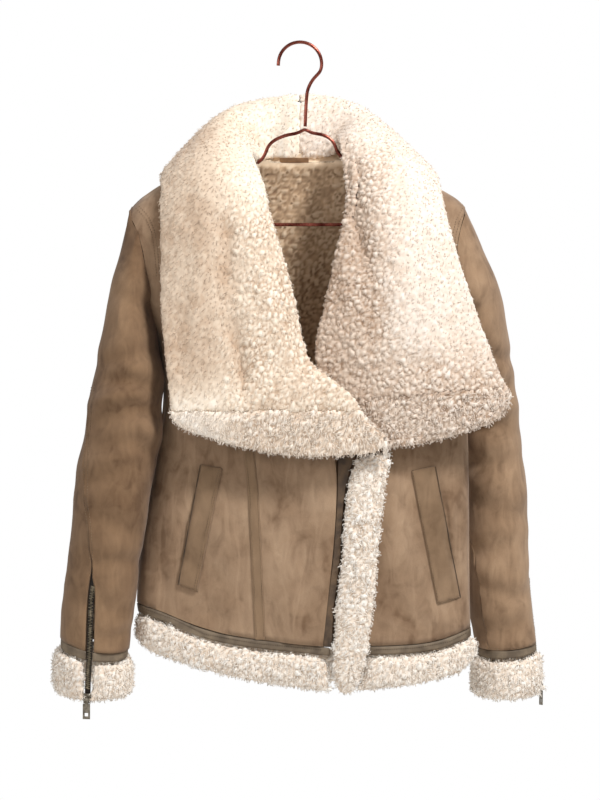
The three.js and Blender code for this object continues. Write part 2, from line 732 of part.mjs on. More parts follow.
// Piece of a sleeve between two turns and two places
function sleevePiece(arm, spec) {
  const { from, to, start, end, cols, rows, outer, inner, round = false } = spec;
  const shell = (inset) => {
    const grid = [];
    for (let i = 0; i <= cols; i += 1) {
      const points = [];
      for (let j = 0; j <= rows; j += 1) {
        const s = mix(start, end, j / rows);
        const k = round ? bulge(j / rows, 0.34, true, true) : 1;
        const middle = (outer + inner) / 2;
        points.push(sleeve(arm, s, mix(from(s), to(s), i / cols), middle + (inset - middle) * k));
      }
      grid.push(points);
    }
    return grid;
  };
  return wall(shell(outer), shell(inner));
}

// All cloth of one sleeve
function sleevePieces(arm, hand) {
  const zip = (s) => look(arm.seams, 's', s, 'zip');
  const under = (s) => look(arm.seams, 's', s, 'under');
  const gap = (s) => mix(SEAM / 2, ZIP_GAP / 2, smooth((s - arm.zipTop + 0.1) / 0.2));
  const after = (s) => zip(s) + degreesFor(arm, s, zip(s), gap(s));
  const before = (s) => zip(s) - degreesFor(arm, s, zip(s), gap(s));
  const seamAfter = (s) => under(s) + degreesFor(arm, s, under(s), SEAM * 0.7);
  const seamBefore = (s) => under(s) - degreesFor(arm, s, under(s), SEAM * 0.7);
  const turnRound = (s) => before(s) + 360;
  const cloth = { outer: 0, inner: SLEEVE_HIDE, start: 0.028, end: 9.99, rows: 14 };
  const fold = { from: after, to: turnRound, cols: 15 };
  return {
    [`sleeve_${hand}_upper`]: sleevePiece(arm, { ...cloth, from: after, to: seamBefore, cols: 8 }),
    [`sleeve_${hand}_under`]: sleevePiece(arm, { ...cloth, from: seamAfter, to: turnRound, cols: 8 }),
    [`cuff_binding_${hand}`]: sleevePiece(arm, {
      ...fold, start: 10, end: 10.29, rows: 1, outer: -0.6, inner: SLEEVE_HIDE,
    }),
    [`cuff_fur_${hand}`]: sleevePiece(arm, {
      ...fold, start: 10.3, end: 11.95, rows: 6, outer: -10, inner: CUFF_FUR - 10, round: true,
    }),
  };
}

// Zip: tape and chain along the gap
function zipPieces(arm, hand) {
  const zip = (s) => look(arm.seams, 's', s, 'zip');
  const aside = (length) => (s) => zip(s) + degreesFor(arm, s, zip(s), length);
  const strip = (half, outer, inner, start, end) => sleevePiece(arm, {
    from: aside(-half), to: aside(half), start, end, cols: 2, rows: 12, outer, inner,
  });
  const half = ZIP_GAP / 2 - SEAM;
  return {
    [`zip_tape_${hand}`]: strip(half, 1.6, 3, arm.zipTop, 11.75),
    [`zip_chain_${hand}`]: strip(CHAIN_WIDTH / 2, -0.9, 1.3, arm.zipTop + 0.2, 11.52),
  };
}

// Frame of axes at the lower end of a zip: out of the sleeve, down the zip, across
function zipAxes(arm, s) {
  const turn = look(arm.seams, 's', s, 'zip');
  const at = sleeve(arm, s, turn, 0);
  const down = sleeve(arm, s + 0.1, turn, 0).sub(sleeve(arm, s - 0.1, turn, 0)).normalize();
  const across = sleeve(arm, s, turn + 1, 0).sub(sleeve(arm, s, turn - 1, 0)).normalize();
  const out = new THREE.Vector3().crossVectors(across, down).normalize();
  if (out.dot(at.clone().sub(sleeve(arm, s, turn, 20))) < 0) out.negate();
  across.crossVectors(down, out);
  return { at, down, across, out };
}

// Slider with its bridge, and the pull tab that hangs from it
const SLIDER = { wide: 9, long: 12, thick: 3.4, rod: 0.9, rise: 3.1, lug: 1.5 };
const PULL = { wide: 9, long: 25, thick: 1.5, eye: 2.3, hole: 4.4, holeDrop: 17.5 };
function sliderAndPull(arm, hand) {
  const s = 11.7;
  const { at, down, across, out } = zipAxes(arm, s);
  const base = at.clone().addScaledVector(out, 1.3);
  const place = (solid) => {
    const m = new THREE.Matrix4().makeBasis(across, out, down.clone().negate());
    m.setPosition(base);
    return solid.transform(m.elements.slice());
  };
  const body = Manifold.cube([SLIDER.wide, SLIDER.thick, SLIDER.long], true)
    .translate([0, SLIDER.thick / 2, 0])
    .subtract(Manifold.cube([3, 2, 3], true).rotate([0, 45, 0]).translate([0, SLIDER.thick, -SLIDER.long / 2]));
  const rodAt = SLIDER.thick + SLIDER.rise;
  const lug = Manifold.cube([SLIDER.lug, rodAt + 1.3, 3.6], true).translate([0, (rodAt + 1.3) / 2, 0]);
  const lugs = lug.translate([-3.4, 0, 0]).add(lug.translate([3.4, 0, 0]));
  const bar = (long, radius, sides) => Manifold.cylinder(long, radius, radius, sides, true).rotate([0, 90, 0]);
  const rod = bar(7.4, SLIDER.rod, 16).translate([0, rodAt, 0]);
  const eye = bar(4.6, PULL.eye, 20);
  const neck = Manifold.cube([4.6, PULL.thick, 6], true).translate([0, 0, -4.2]);
  const flat = PULL.long - 6;
  const tab = Manifold.cube([PULL.wide, PULL.thick, flat], true).translate([0, 0, -6 - flat / 2]);
  const window = Manifold.cube([PULL.hole, 9, PULL.hole], true).translate([0, 0, -PULL.holeDrop - 2]);
  const bore = bar(9, SLIDER.rod + 0.35, 16);
  const pull = eye.add(neck).add(tab).subtract(window).subtract(bore).translate([0, rodAt, 0]);
  return {
    [`zip_slider_${hand}`]: place(body.add(lugs).add(rod)),
    [`zip_pull_${hand}`]: place(pull),
  };
}

// Collar point and its normal
function collarPoint(table, a, b) {
  const last = table.length - 1;
  const place = (s, t) => {
    const point = new THREE.Vector3();
    for (const k of [0, 1, 2]) {
      const column = (c) => table.map((r) => ({ v: r.at[c][k] }));
      const across = [0, 1, 2, 3, 4].map((c) => ({ v: row(column(c), s, 'v') }));
      point.setComponent(k, row(across, t, 'v'));
    }
    return point;
  };
  const s = a * last;
  const t = b * 4;
  const ds = place(Math.min(s + 0.05, last), t).sub(place(Math.max(s - 0.05, 0), t));
  const dt = place(s, Math.min(t + 0.05, 4)).sub(place(s, Math.max(t - 0.05, 0)));
  const normal = new THREE.Vector3().crossVectors(ds, dt).normalize();
  if (a === 0) normal.setX(0).normalize();
  return { point: place(s, t), normal };
}

// Collar half as a thick wall rounded at its free edges
function collarHalf(table, sign, extra) {
  const cols = [0, 0.03, 0.1, 0.22, 0.36, 0.5, 0.64, 0.8, 0.92, 0.975, 1];
  const rows = Math.round((table.length - 1) * 1.5);
  const shell = (face) => {
    const grid = [];
    for (let i = 0; i <= rows; i += 1) {
      const a = i / rows;
      const points = [];
      for (const b of cols) {
        const { point, normal } = collarPoint(table, a, b);
        const k = bulge(b, 0.1, true, true) * bulge(a, 0.06, false, true);
        point.addScaledVector(normal, face * sign * ((COLLAR_THICK / 2) * k + extra));
        if (a === 0) point.setX(-sign * SEAM / 2);
        points.push(point);
      }
      grid.push(points);
    }
    return grid;
  };
  return wall(shell(1), shell(-1));
}

// Collar halves, clear of all that they lie on, each parted from its lower trim band
function collarPieces(cover, near) {
  const uncovered = (solid) => cover.reduce((rest, other) => rest.subtract(other), solid);
  const lie = (solid) => clearOf(uncovered(solid), near, ALL_WAYS);
  const left = biggest(lie(collarHalf(COLLAR_LEFT, 1, 0)));
  const right = biggest(lie(collarHalf(COLLAR_RIGHT, -1, 0)).subtract(collarHalf(COLLAR_LEFT, 1, SEAM)));
  const part = (solid, trim) => {
    const normal = [-trim.slope, 0, 1];
    const length = Math.hypot(...normal);
    const unit = normal.map((v) => v / length);
    const at = trim.z / length;
    return {
      upper: biggest(solid.trimByPlane(unit, at + SEAM / 2)),
      lower: biggest(solid.trimByPlane(unit.map((v) => -v), -(at - SEAM / 2))),
    };
  };
  const a = part(left, TRIM_LEFT);
  const b = part(right, TRIM_RIGHT);
  return {
    collar_left: a.upper,
    collar_trim_left: a.lower,
    collar_right: b.upper,
    collar_trim_right: b.lower,
  };
}

// Round wire along a curve
function wire(curve, steps, closed) {
  const frames = [];
  const normal = new THREE.Vector3(0, 1, 0);
  const count = closed ? steps : steps + 1;
  for (let i = 0; i < count; i += 1) {
    const at = curve.getPointAt(i / steps);
    const side = new THREE.Vector3().crossVectors(curve.getTangentAt(i / steps), normal).normalize();
    const ring = [];
    for (let k = 0; k < 8; k += 1) {
      const angle = (k / 8) * Math.PI * 2;
      const point = at.clone().addScaledVector(side, Math.cos(angle) * WIRE);
      ring.push(point.addScaledVector(normal, Math.sin(angle) * WIRE));
    }
    frames.push(ring);
  }
  const points = frames.flat();
  const faces = [];
  const id = (i, k) => (i % count) * 8 + (k % 8);
  for (let i = 0; i < steps; i += 1) {
    for (let k = 0; k < 8; k += 1) {
      faces.push(id(i, k), id(i + 1, k), id(i + 1, k + 1), id(i, k), id(i + 1, k + 1), id(i, k + 1));
    }
  }
  if (!closed) {
    for (let k = 1; k < 7; k += 1) {
      faces.push(0, k, k + 1);
      faces.push(id(steps, 0), id(steps, k + 1), id(steps, k));
    }
  }
  return solidFrom(points, faces);
}

// Hanger: the hook with its stem, and the closed frame below it
function hangerPieces() {
  const hook = [];
  const centre = -HOOK_RADIUS + WIRE;
  for (let angle = 185; angle >= -20; angle -= 20.5) {
    const a = THREE.MathUtils.degToRad(angle);
    hook.push(new THREE.Vector3(Math.cos(a) * HOOK_RADIUS, 0, centre + Math.sin(a) * HOOK_RADIUS));
  }
  hook.push(new THREE.Vector3(17, 0, -44));
  hook.push(new THREE.Vector3(10, 0, -57));
  hook.push(new THREE.Vector3(8, 0, -72));
  hook.push(new THREE.Vector3(6.5, 0, -104.2));
  const loop = FRAME.map((p) => new THREE.Vector3(p.x, 0, p.z));
  return {
    hanger_hook: wire(new THREE.CatmullRomCurve3(hook, false, 'centripetal'), 28, false),
    hanger_frame: wire(new THREE.CatmullRomCurve3(loop, true, 'centripetal'), 110, true),
  };
}

// Leather loop at the back of the neck
function hangingLoop() {
  const wide = 37;
  const outer = [];
  const inner = [];
  for (let i = 0; i <= 6; i += 1) {
    const x = -26 + (wide * i) / 6;
    const y = 32.6 - 2.4 * Math.sin((Math.PI * i) / 6) - 0.001 * x * x;
    outer.push([new THREE.Vector3(x, y, -141), new THREE.Vector3(x, y, -147.5)]);
    inner.push([new THREE.Vector3(x, y + 1.6, -141), new THREE.Vector3(x, y + 1.6, -147.5)]);
  }
  return wall(outer, inner);
}

// Assembly
const MATERIAL_OF = [
  ['hanger', 'copper'],
  ['hanging', 'loop'],
  ['zip_tape', 'tape'],
  ['zip_chain', 'brass'],
  ['zip', 'nickel'],
  ['collar', 'fur'],
  ['hem_fur', 'fur'],
  ['cuff_fur', 'fur'],
  ['front_fur', 'fur'],
  ['hem_binding', 'binding'],
  ['cuff_binding', 'binding'],
  ['front_binding', 'binding'],
  ['seam_tape', 'binding'],
  ['', 'suede'],
];

const PANELS = ['front_left_side', 'front_left_centre', 'front_right', 'back'];

function build() {
  const solids = { ...hangerPieces(), hanging_loop: hangingLoop(), ...bodyPanels(0, HIDE) };
  Object.assign(solids, hemPieces(), frontEdge(), trims());
  yieldTo(solids, ['front_binding'], ['front_fur', 'front_left_centre']);
  yieldTo(solids, ['seam_tape_left'], ['front_left_side', 'front_left_centre'], [[0, -1, 0]]);
  yieldTo(solids, ['pocket_welt_left'], ['front_left_side'], [[0, -1, 0]]);
  yieldTo(solids, ['pocket_welt_right'], ['front_right'], [[0, -1, 0]]);
  const cover = Object.values(bodyPanels(-SEAM, 24));
  const near = [...PANELS, 'front_fur', 'hanger_frame', 'hanger_hook'].map((name) => solids[name]);
  for (const [arm, hand] of [[ARM_LEFT, 'left'], [ARM_RIGHT, 'right']]) {
    Object.assign(solids, sleevePieces(arm, hand), zipPieces(arm, hand));
    Object.assign(solids, sliderAndPull(arm, hand));
    const cloth = [`sleeve_${hand}_upper`, `sleeve_${hand}_under`];
    const edges = [...cloth, `cuff_binding_${hand}`, `cuff_fur_${hand}`];
    yieldTo(solids, [`zip_tape_${hand}`, `zip_chain_${hand}`], edges, [[1, 0, 0], [-1, 0, 0]]);
    yieldTo(solids, [`zip_chain_${hand}`, `zip_tape_${hand}`, `cuff_fur_${hand}`], [`zip_slider_${hand}`]);
    near.push(...cloth.map((name) => solids[name]));
  }
  Object.assign(solids, collarPieces(cover, near));
  const group = new THREE.Group();
  group.name = 'shearling_jacket';
  for (const [name, solid] of Object.entries(solids)) {
    const material = MATERIAL_OF.find(([start]) => name.startsWith(start))[1];
    group.add(meshOf(name, material, solid));
  }
  return group;
}

export default build();
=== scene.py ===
# %% [markdown]
# A shearling jacket on a wire hanger. The solids give every sewn piece its place
# and its form. This lesson dresses them: smooth suede with creases, curly fleece,
# seams with their stitches, two sleeve zips and a copper hanger.
# The frame is loaded first, because everything is measured from it.

# %% Load the frame
import math
import bpy
import numpy as np
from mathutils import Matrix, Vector
from mathutils.bvhtree import BVHTree
from mathutils.kdtree import KDTree


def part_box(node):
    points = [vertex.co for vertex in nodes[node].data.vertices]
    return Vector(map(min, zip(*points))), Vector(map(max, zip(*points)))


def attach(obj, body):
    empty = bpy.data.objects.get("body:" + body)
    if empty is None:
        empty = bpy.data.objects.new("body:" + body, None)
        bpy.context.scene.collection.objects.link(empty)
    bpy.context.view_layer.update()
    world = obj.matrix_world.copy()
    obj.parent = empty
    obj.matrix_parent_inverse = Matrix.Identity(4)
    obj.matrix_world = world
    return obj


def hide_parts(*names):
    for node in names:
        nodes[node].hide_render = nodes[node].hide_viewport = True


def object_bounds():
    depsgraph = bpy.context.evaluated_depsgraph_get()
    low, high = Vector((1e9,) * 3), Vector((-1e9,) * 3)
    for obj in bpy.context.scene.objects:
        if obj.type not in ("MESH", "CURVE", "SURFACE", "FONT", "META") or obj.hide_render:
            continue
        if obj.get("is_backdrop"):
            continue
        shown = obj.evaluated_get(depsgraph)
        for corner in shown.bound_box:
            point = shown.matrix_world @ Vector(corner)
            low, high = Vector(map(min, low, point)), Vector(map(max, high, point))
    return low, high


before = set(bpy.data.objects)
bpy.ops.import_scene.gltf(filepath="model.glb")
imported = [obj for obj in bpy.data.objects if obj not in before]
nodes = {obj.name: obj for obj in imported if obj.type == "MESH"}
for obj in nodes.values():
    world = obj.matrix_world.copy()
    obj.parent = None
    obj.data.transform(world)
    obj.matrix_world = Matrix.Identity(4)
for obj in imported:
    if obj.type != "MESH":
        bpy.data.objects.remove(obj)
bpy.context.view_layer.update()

# %% [markdown]
# The jacket was seen straight on from some way off, so a long lens keeps its
# proportions flat. Places on it are known as points of that front view, counted
# from the top of the hook, and one point is 1.25 mm wide.

# %% Camera
POINT = 0.00125
HOOK_TOP = (300, 41)
MIDDLE = -0.449
DISTANCE = 3.63
LENS = 129.6


def front(px, py):
    """Point of the front view as (x, z) in metres."""
    return ((px - HOOK_TOP[0]) * POINT, (HOOK_TOP[1] - py) * POINT)


bpy.ops.object.select_all(action="DESELECT")
bpy.ops.object.camera_add(location=(0, -DISTANCE, MIDDLE), rotation=(math.pi / 2, 0, 0))
camera = bpy.context.object
camera.data.lens = LENS
camera.data.sensor_width = 36
bpy.context.scene.camera = camera
print("camera at", tuple(round(v, 3) for v in camera.location))

# %% [markdown]
# A bright white room lights the jacket evenly from all round, so shadows are
# soft. The wall that is seen behind the jacket is pure white, while the glow that
# falls on the jacket is weaker, so that its pale wool doesn't burn out.

# %% Room
world = bpy.context.scene.world or bpy.data.worlds.new("room")
bpy.context.scene.world = world
world.use_nodes = True
room = world.node_tree
glow = room.nodes["Background"]
glow.inputs["Color"].default_value = (1.0, 0.985, 0.965, 1)
glow.inputs["Strength"].default_value = 0.48
behind = room.nodes.new("ShaderNodeBackground")
behind.inputs["Color"].default_value = (1, 1, 1, 1)
rays = room.nodes.new("ShaderNodeLightPath")
choice = room.nodes.new("ShaderNodeMixShader")
room.links.new(rays.outputs["Is Camera Ray"], choice.inputs[0])
room.links.new(glow.outputs[0], choice.inputs[1])
room.links.new(behind.outputs[0], choice.inputs[2])
room.links.new(choice.outputs[0], room.nodes["World Output"].inputs["Surface"])
bpy.context.scene.view_settings.view_transform = "Standard"
print("room glow", round(glow.inputs["Strength"].default_value, 2))

# %% [markdown]
# A window-like light from above gives the cloth its form. A weak wide light fills
# the shadows from the other side, and one behind draws a rim round the sleeves.
# The floor is far below, because the jacket hangs.

# %% Lights and floor
def soft_light(name, place, aim, size, power):
    """A square light that faces a point."""
    bpy.ops.object.light_add(type="AREA", location=place)
    light = bpy.context.object
    light.name = name
    light.data.size = size
    light.data.energy = power
    turn = (Vector(aim) - Vector(place)).to_track_quat("-Z", "Y")
    light.rotation_euler = turn.to_euler()
    return light


soft_light("window", (1.15, -1.35, 1.4), (0, 0, -0.45), 0.5, 58)
soft_light("fill", (-1.7, -1.9, 0.3), (0, 0, -0.5), 1.2, 12)
soft_light("behind", (0.6, 2.0, 0.6), (0, 0, -0.4), 1.6, 16)
bpy.ops.mesh.primitive_plane_add(size=6, location=(0, -0.2, -1.6))
floor = bpy.context.object
floor.name = "floor"
floor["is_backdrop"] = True

# %% [markdown]
# Materials are sums of noise patterns. One small class lets a pattern be written
# as arithmetic: each operator adds the Math node that does it.

# %% Shader arithmetic
class Value:
    """A node socket that can be added, multiplied and so on."""

    def __init__(self, kit, socket):
        self.kit, self.socket = kit, socket

    def _math(self, kind, a, b):
        return self.kit.node("ShaderNodeMath", {"operation": kind}, {0: a, 1: b})

    def __add__(self, other):
        return self._math("ADD", self, other)

    def __radd__(self, other):
        return self._math("ADD", other, self)

    def __sub__(self, other):
        return self._math("SUBTRACT", self, other)

    def __rsub__(self, other):
        return self._math("SUBTRACT", other, self)

    def __mul__(self, other):
        return self._math("MULTIPLY", self, other)

    def __rmul__(self, other):
        return self._math("MULTIPLY", other, self)


print("operators", [name for name in vars(Value) if name.endswith(("add__", "sub__", "mul__"))])

# %% [markdown]
# A finish is one material. It starts from the shader that each new material has
# and reads the place on the piece. It adds pattern nodes on request, such as
# clouds, bands and blends of two colours, and joins the results to the shader.

# %% Finishes
class Finish:
    """One material and the ways to add nodes to it."""

    def __init__(self, name, roughness, metallic=0.0, sheen=0.0):
        self.material = bpy.data.materials.new(name)
        self.material.use_nodes = True
        self.tree = self.material.node_tree
        self.shader = self.tree.nodes["Principled BSDF"]
        self.shader.inputs["Roughness"].default_value = roughness
        self.shader.inputs["Metallic"].default_value = metallic
        self.shader.inputs["Sheen Weight"].default_value = sheen
        self.shader.inputs["Sheen Roughness"].default_value = 0.5
        self.place = self.node("ShaderNodeTexCoord", {}, {}, "Object").socket

    def node(self, kind, settings, values, output=0):
        """Adds a node, its settings first and then its values or links."""
        made = self.tree.nodes.new(kind)
        for key, value in settings.items():
            setattr(made, key, value)
        for key, value in values.items():
            if isinstance(value, Value):
                self.tree.links.new(value.socket, made.inputs[key])
            elif isinstance(value, bpy.types.NodeSocket):
                self.tree.links.new(value, made.inputs[key])
            else:
                made.inputs[key].default_value = value
        return Value(self, made.outputs[output])

    def noise(self, scale, detail=2.0, place=None, distortion=0.0):
        """A cloudy pattern, scale in patches a metre."""
        values = {"Vector": place or self.place, "Scale": scale, "Detail": detail, "Distortion": distortion}
        return self.node("ShaderNodeTexNoise", {}, values)

    def stretched(self, x, y, z):
        """Object coordinates stretched by three numbers."""
        return self.node("ShaderNodeMapping", {}, {"Vector": self.place, "Scale": (x, y, z)}).socket

    def band(self, value, low, high, start=0.0, end=1.0):
        """Carries low to high over to start to end, held at the ends."""
        values = {0: value, 1: low, 2: high, 3: start, 4: end}
        return self.node("ShaderNodeMapRange", {"clamp": True}, values)

    def blend(self, amount, first, second):
        """First colour where amount is 0, second where it is 1."""
        made = self.tree.nodes.new("ShaderNodeMix")
        made.data_type = "RGBA"
        for socket, value in ((made.inputs[0], amount), (made.inputs[6], first), (made.inputs[7], second)):
            if isinstance(value, Value):
                self.tree.links.new(value.socket, socket)
            else:
                socket.default_value = value
        return Value(self, made.outputs[2])

    def own(self, name):
        """A number stored on the piece's own points."""
        return self.node("ShaderNodeAttribute", {"attribute_name": name}, {}, "Fac")

    def use(self, colour=None, roughness=None, height=None, strength=0.3, depth=0.001):
        """Joins the results to the shader."""
        if colour is not None:
            self.tree.links.new(colour.socket, self.shader.inputs["Base Color"])
        if roughness is not None:
            self.tree.links.new(roughness.socket, self.shader.inputs["Roughness"])
        if height is not None:
            bump = self.node("ShaderNodeBump", {}, {"Height": height, "Strength": strength, "Distance": depth})
            self.tree.links.new(bump.socket, self.shader.inputs["Normal"])
        return self.material


print("finish tools ready")

# %% [markdown]
# A colour is easiest to name as it looks on a screen. A shader wants light
# instead, so one function turns the first into the second.

# %% Screen colours
def tint(red, green, blue):
    """A colour as it looks on screen, 0 to 255, as light."""
    shares = [level / 255 for level in (red, green, blue)]
    return tuple(s / 12.92 if s <= 10 / 255 else ((s + 0.055) / 1.055) ** 2.4 for s in shares) + (1,)


print("tan suede as light", tuple(round(c, 3) for c in tint(150, 122, 95)[:3]))

# %% [markdown]
# Suede is the skin side of the sheepskin, brushed to a short nap. The nap lies in
# patches that catch the light differently, so the tan is mottled at hand size and
# again at finger size, with a fine grain on top. It has no gloss at all, only a
# faint bloom, which is what the sheen is for. The sleeves get darker copies of the
# same finish, three shades each, as painted shade, because less light falls on
# them than on the body. The left one is the darker, as the main light is on the right.

# %% Suede
def suede_finish(name, dark, middle, light):
    """Brushed suede in three shades of one tan."""
    make = Finish(name, 0.93, sheen=0.12)
    large = make.noise(11, 3, distortion=0.6)
    small = make.noise(55, 4, distortion=0.8)
    brushed = make.noise(30, 4, make.stretched(2.2, 2.2, 0.7), 1.2)
    grain = make.noise(900, 3)
    patch = make.band(large * 0.5 + small * 0.22 + brushed * 0.34, 0.41, 0.65)
    colour = make.blend(patch, dark, light)
    colour = make.blend(make.band(small, 0.35, 0.65, 0.25, 0.6), colour, middle)
    colour = make.blend(make.band(grain, 0.3, 0.75, 0.16, 0), colour, dark)
    nap = grain * 0.7 + small * 0.6
    return make.use(colour, make.band(brushed, 0.3, 0.7, 0.86, 0.98), nap, 0.35, 0.0006)


suede = suede_finish("suede", tint(104, 77, 53), tint(146, 117, 90), tint(186, 158, 130))
# Darker copies of the suede for the sleeves: painted shade, deepest on the left.
shaded_sleeve_suede = {
    "left": suede_finish("suede_sleeve_left_shaded", tint(88, 62, 38), tint(122, 92, 64), tint(158, 128, 98)),
    "right": suede_finish("suede_sleeve_right_shaded", tint(100, 74, 50), tint(140, 110, 82), tint(182, 152, 122)),
}
welt_suede = suede_finish("suede_welt", tint(106, 82, 58), tint(132, 105, 78), tint(156, 129, 102))
print("made", suede.name, welt_suede.name)

# %% [markdown]
# The edges are bound with a strip of smoother leather in grey brown. It has a
# fine pebbled grain and a slight shine where it is rubbed. The strip along the
# front edge lies under the fur band and gets a darker copy as painted shade.

# %% Bindings and hanging loop
def leather_finish(name, dark, light, roughness):
    """Thin leather with a fine pebbled grain."""
    make = Finish(name, roughness)
    grain = make.node("ShaderNodeTexVoronoi", {}, {"Vector": make.place, "Scale": 700.0}, "Distance")
    cloud = make.noise(60, 3)
    colour = make.blend(make.band(cloud, 0.35, 0.65), dark, light)
    colour = make.blend(make.band(grain, 0.1, 0.6, 0.25, 0), colour, dark)
    shine = make.band(cloud, 0.3, 0.7, roughness - 0.1, roughness + 0.08)
    return make.use(colour, shine, grain * 0.6 + cloud * 0.4, 0.4, 0.0005)


binding = leather_finish("binding", tint(94, 80, 64), tint(130, 114, 94), 0.7)
# A darker copy of the binding for the front edge: painted shade under the fur band.
shaded_binding = leather_finish("binding_shaded", tint(66, 50, 36), tint(104, 82, 60), 0.66)
loop_leather = leather_finish("loop_leather", tint(112, 76, 46), tint(158, 118, 78), 0.5)
thread = leather_finish("thread", tint(92, 72, 52), tint(150, 126, 98), 0.75)
dark_thread = leather_finish("thread_dark", tint(58, 44, 32), tint(98, 78, 58), 0.8)
print("made", binding.name, shaded_binding.name, loop_leather.name, thread.name)

# %% [markdown]
# Fleece is wool in small curls. Little light gets down between them, so the
# finish paints shade there: wool is painted dark and warm at its root and almost
# white at its lit tip. Each piece carries two numbers on its points, which the
# finish reads: how near the lit tip of its curl a point is, lowered where more
# shade is painted, and the curl's own tone.

# %% Fleece
def fleece_finish(name, shaded_root, middle, lit_tip):
    """Wool that goes from a root in painted shade, warm and dark, to a pale lit tip."""
    make = Finish(name, 0.9, sheen=0.25)
    near_lit_tip, tone = make.own("lit_tip"), make.own("tone")
    large = make.noise(14, 3, distortion=0.4)
    fibres = make.noise(1500, 2)
    # The shaded root colour is painted shade in the hollows between curls.
    colour = make.blend(make.band(near_lit_tip, 0.0, 0.6), shaded_root, middle)
    colour = make.blend(make.band(near_lit_tip * 0.9 + tone * 0.2, 0.45, 1.1), colour, lit_tip)
    colour = make.blend(make.band(large * 0.8 + tone * 0.2, 0.42, 0.62, 0.4, 0), colour, middle)
    return make.use(colour, None, fibres, 0.5, 0.0004)


fleece_left = fleece_finish("fleece_cream", tint(178, 144, 114), tint(240, 223, 202), tint(253, 245, 233))
fleece_right = fleece_finish("fleece_rose", tint(166, 133, 106), tint(229, 210, 192), tint(250, 240, 230))
fleece_edge = fleece_finish("fleece_edge", tint(216, 192, 168), tint(249, 237, 223), tint(255, 253, 249))
fleece_trim = fleece_finish("fleece_trim", tint(192, 160, 130), tint(243, 227, 209), tint(254, 247, 238))
# A darker copy of the fleece for the pile inside the neck: painted shade.
fleece_inside_shaded = fleece_finish("fleece_inside_shaded", tint(130, 100, 74), tint(206, 174, 140), tint(238, 216, 188))


def lining_finish():
    """The pile seen as one surface, where no curl is made."""
    make = Finish("lining", 0.95, sheen=0.2)
    cells = make.node("ShaderNodeTexVoronoi", {}, {"Vector": make.place, "Scale": 170.0}, "Distance")
    curls = make.noise(190, 3, distortion=1.5)
    colour = make.blend(make.band(curls * 0.6 + cells * 0.4, 0.3, 0.62), tint(160, 132, 104), tint(228, 210, 186))
    return make.use(colour, None, curls * 0.7 - cells * 0.5, 0.9, 0.003)


lining = lining_finish()
print("made", fleece_left.name, fleece_right.name, fleece_edge.name, lining.name)

# %% [markdown]
# Four metals and tapes are left: copper wire, old brass teeth, a worn nickel pull
# and black zip tape. Metal shows wear as patches of a different roughness.

# %% Metals and tape
def metal_finish(name, dark, light, low, high, scale):
    """Worn metal, cloudy in colour and in gloss."""
    make = Finish(name, (low + high) / 2, 1.0)
    cloud = make.noise(scale, 4)
    fine = make.noise(scale * 9, 2)
    colour = make.blend(make.band(cloud, 0.35, 0.65), dark, light)
    return make.use(colour, make.band(fine, 0.3, 0.7, low, high), fine, 0.12, 0.0002)


copper = metal_finish("copper", tint(96, 44, 36), tint(168, 96, 82), 0.2, 0.34, 60)
brass = metal_finish("brass", tint(108, 98, 82), tint(196, 182, 156), 0.3, 0.5, 300)
nickel = metal_finish("nickel", tint(112, 104, 92), tint(172, 163, 148), 0.26, 0.44, 240)


def tape_finish():
    """Woven zip tape: ribs that follow its length."""
    make = Finish("zip_tape", 0.9)
    weave = make.node("ShaderNodeTexWave", {"bands_direction": "Z"}, {"Vector": make.place, "Scale": 420.0})
    cloud = make.noise(90, 3)
    colour = make.blend(make.band(cloud, 0.3, 0.7), tint(34, 28, 26), tint(58, 50, 46))
    return make.use(colour, None, weave, 0.5, 0.0004)


tape = tape_finish()
print("made", copper.name, brass.name, nickel.name, tape.name)

# %% [markdown]
# The solids hold each panel as a coarse wall of the right form. A panel is
# dressed by a finer copy: its doubles are merged, triangles are joined to quads,
# sharp rims are creased so that they stay in place, and it is subdivided. The
# copy then stands for the solid. Copies are better than new shapes here, because
# every seam already meets its neighbour.

# %% Fine copies of the solids
def only(thing):
    """Selects one object alone."""
    bpy.ops.object.select_all(action="DESELECT")
    thing.select_set(True)
    bpy.context.view_layer.objects.active = thing


def apply_modifier(thing, kind, **settings):
    """Adds a modifier with its settings and applies it."""
    only(thing)
    modifier = thing.modifiers.new(kind.lower(), kind)
    for key, value in settings.items():
        setattr(modifier, key, value)
    bpy.ops.object.modifier_apply(modifier=modifier.name)


def fine_copy(node, name, levels, rim=38, rim_crease=1.0):
    """A merged and subdivided copy of a solid, its rims kept sharp."""
    piece = bpy.data.objects.new(name, nodes[node].data.copy())
    bpy.context.scene.collection.objects.link(piece)
    only(piece)
    bpy.ops.object.mode_set(mode="EDIT")
    bpy.ops.mesh.select_all(action="SELECT")
    bpy.ops.mesh.remove_doubles(threshold=0.00002)
    bpy.ops.mesh.tris_convert_to_quads(face_threshold=math.radians(35), shape_threshold=math.radians(60))
    bpy.ops.mesh.select_all(action="DESELECT")
    bpy.ops.mesh.select_mode(type="EDGE")
    bpy.ops.mesh.edges_select_sharp(sharpness=math.radians(rim))
    bpy.ops.transform.edge_crease(value=rim_crease)
    bpy.ops.object.mode_set(mode="OBJECT")
    apply_modifier(piece, "SUBSURF", levels=levels, render_levels=levels)
    return piece


def smooth(piece, sharpest=50):
    """Shades a piece smooth, apart from edges that are sharper than an angle in degrees."""
    only(piece)
    bpy.ops.object.shade_smooth_by_angle(angle=math.radians(sharpest))


print("copy tools ready")

# %% [markdown]
# Thousands of points are moved at once below, so they are read and written as
# whole arrays. That is many times faster than a loop over the points.

# %% Points of a piece
def points_of(piece):
    """The piece's points as rows of x, y, z."""
    out = np.empty(len(piece.data.vertices) * 3)
    piece.data.vertices.foreach_get("co", out)
    return out.reshape(-1, 3)


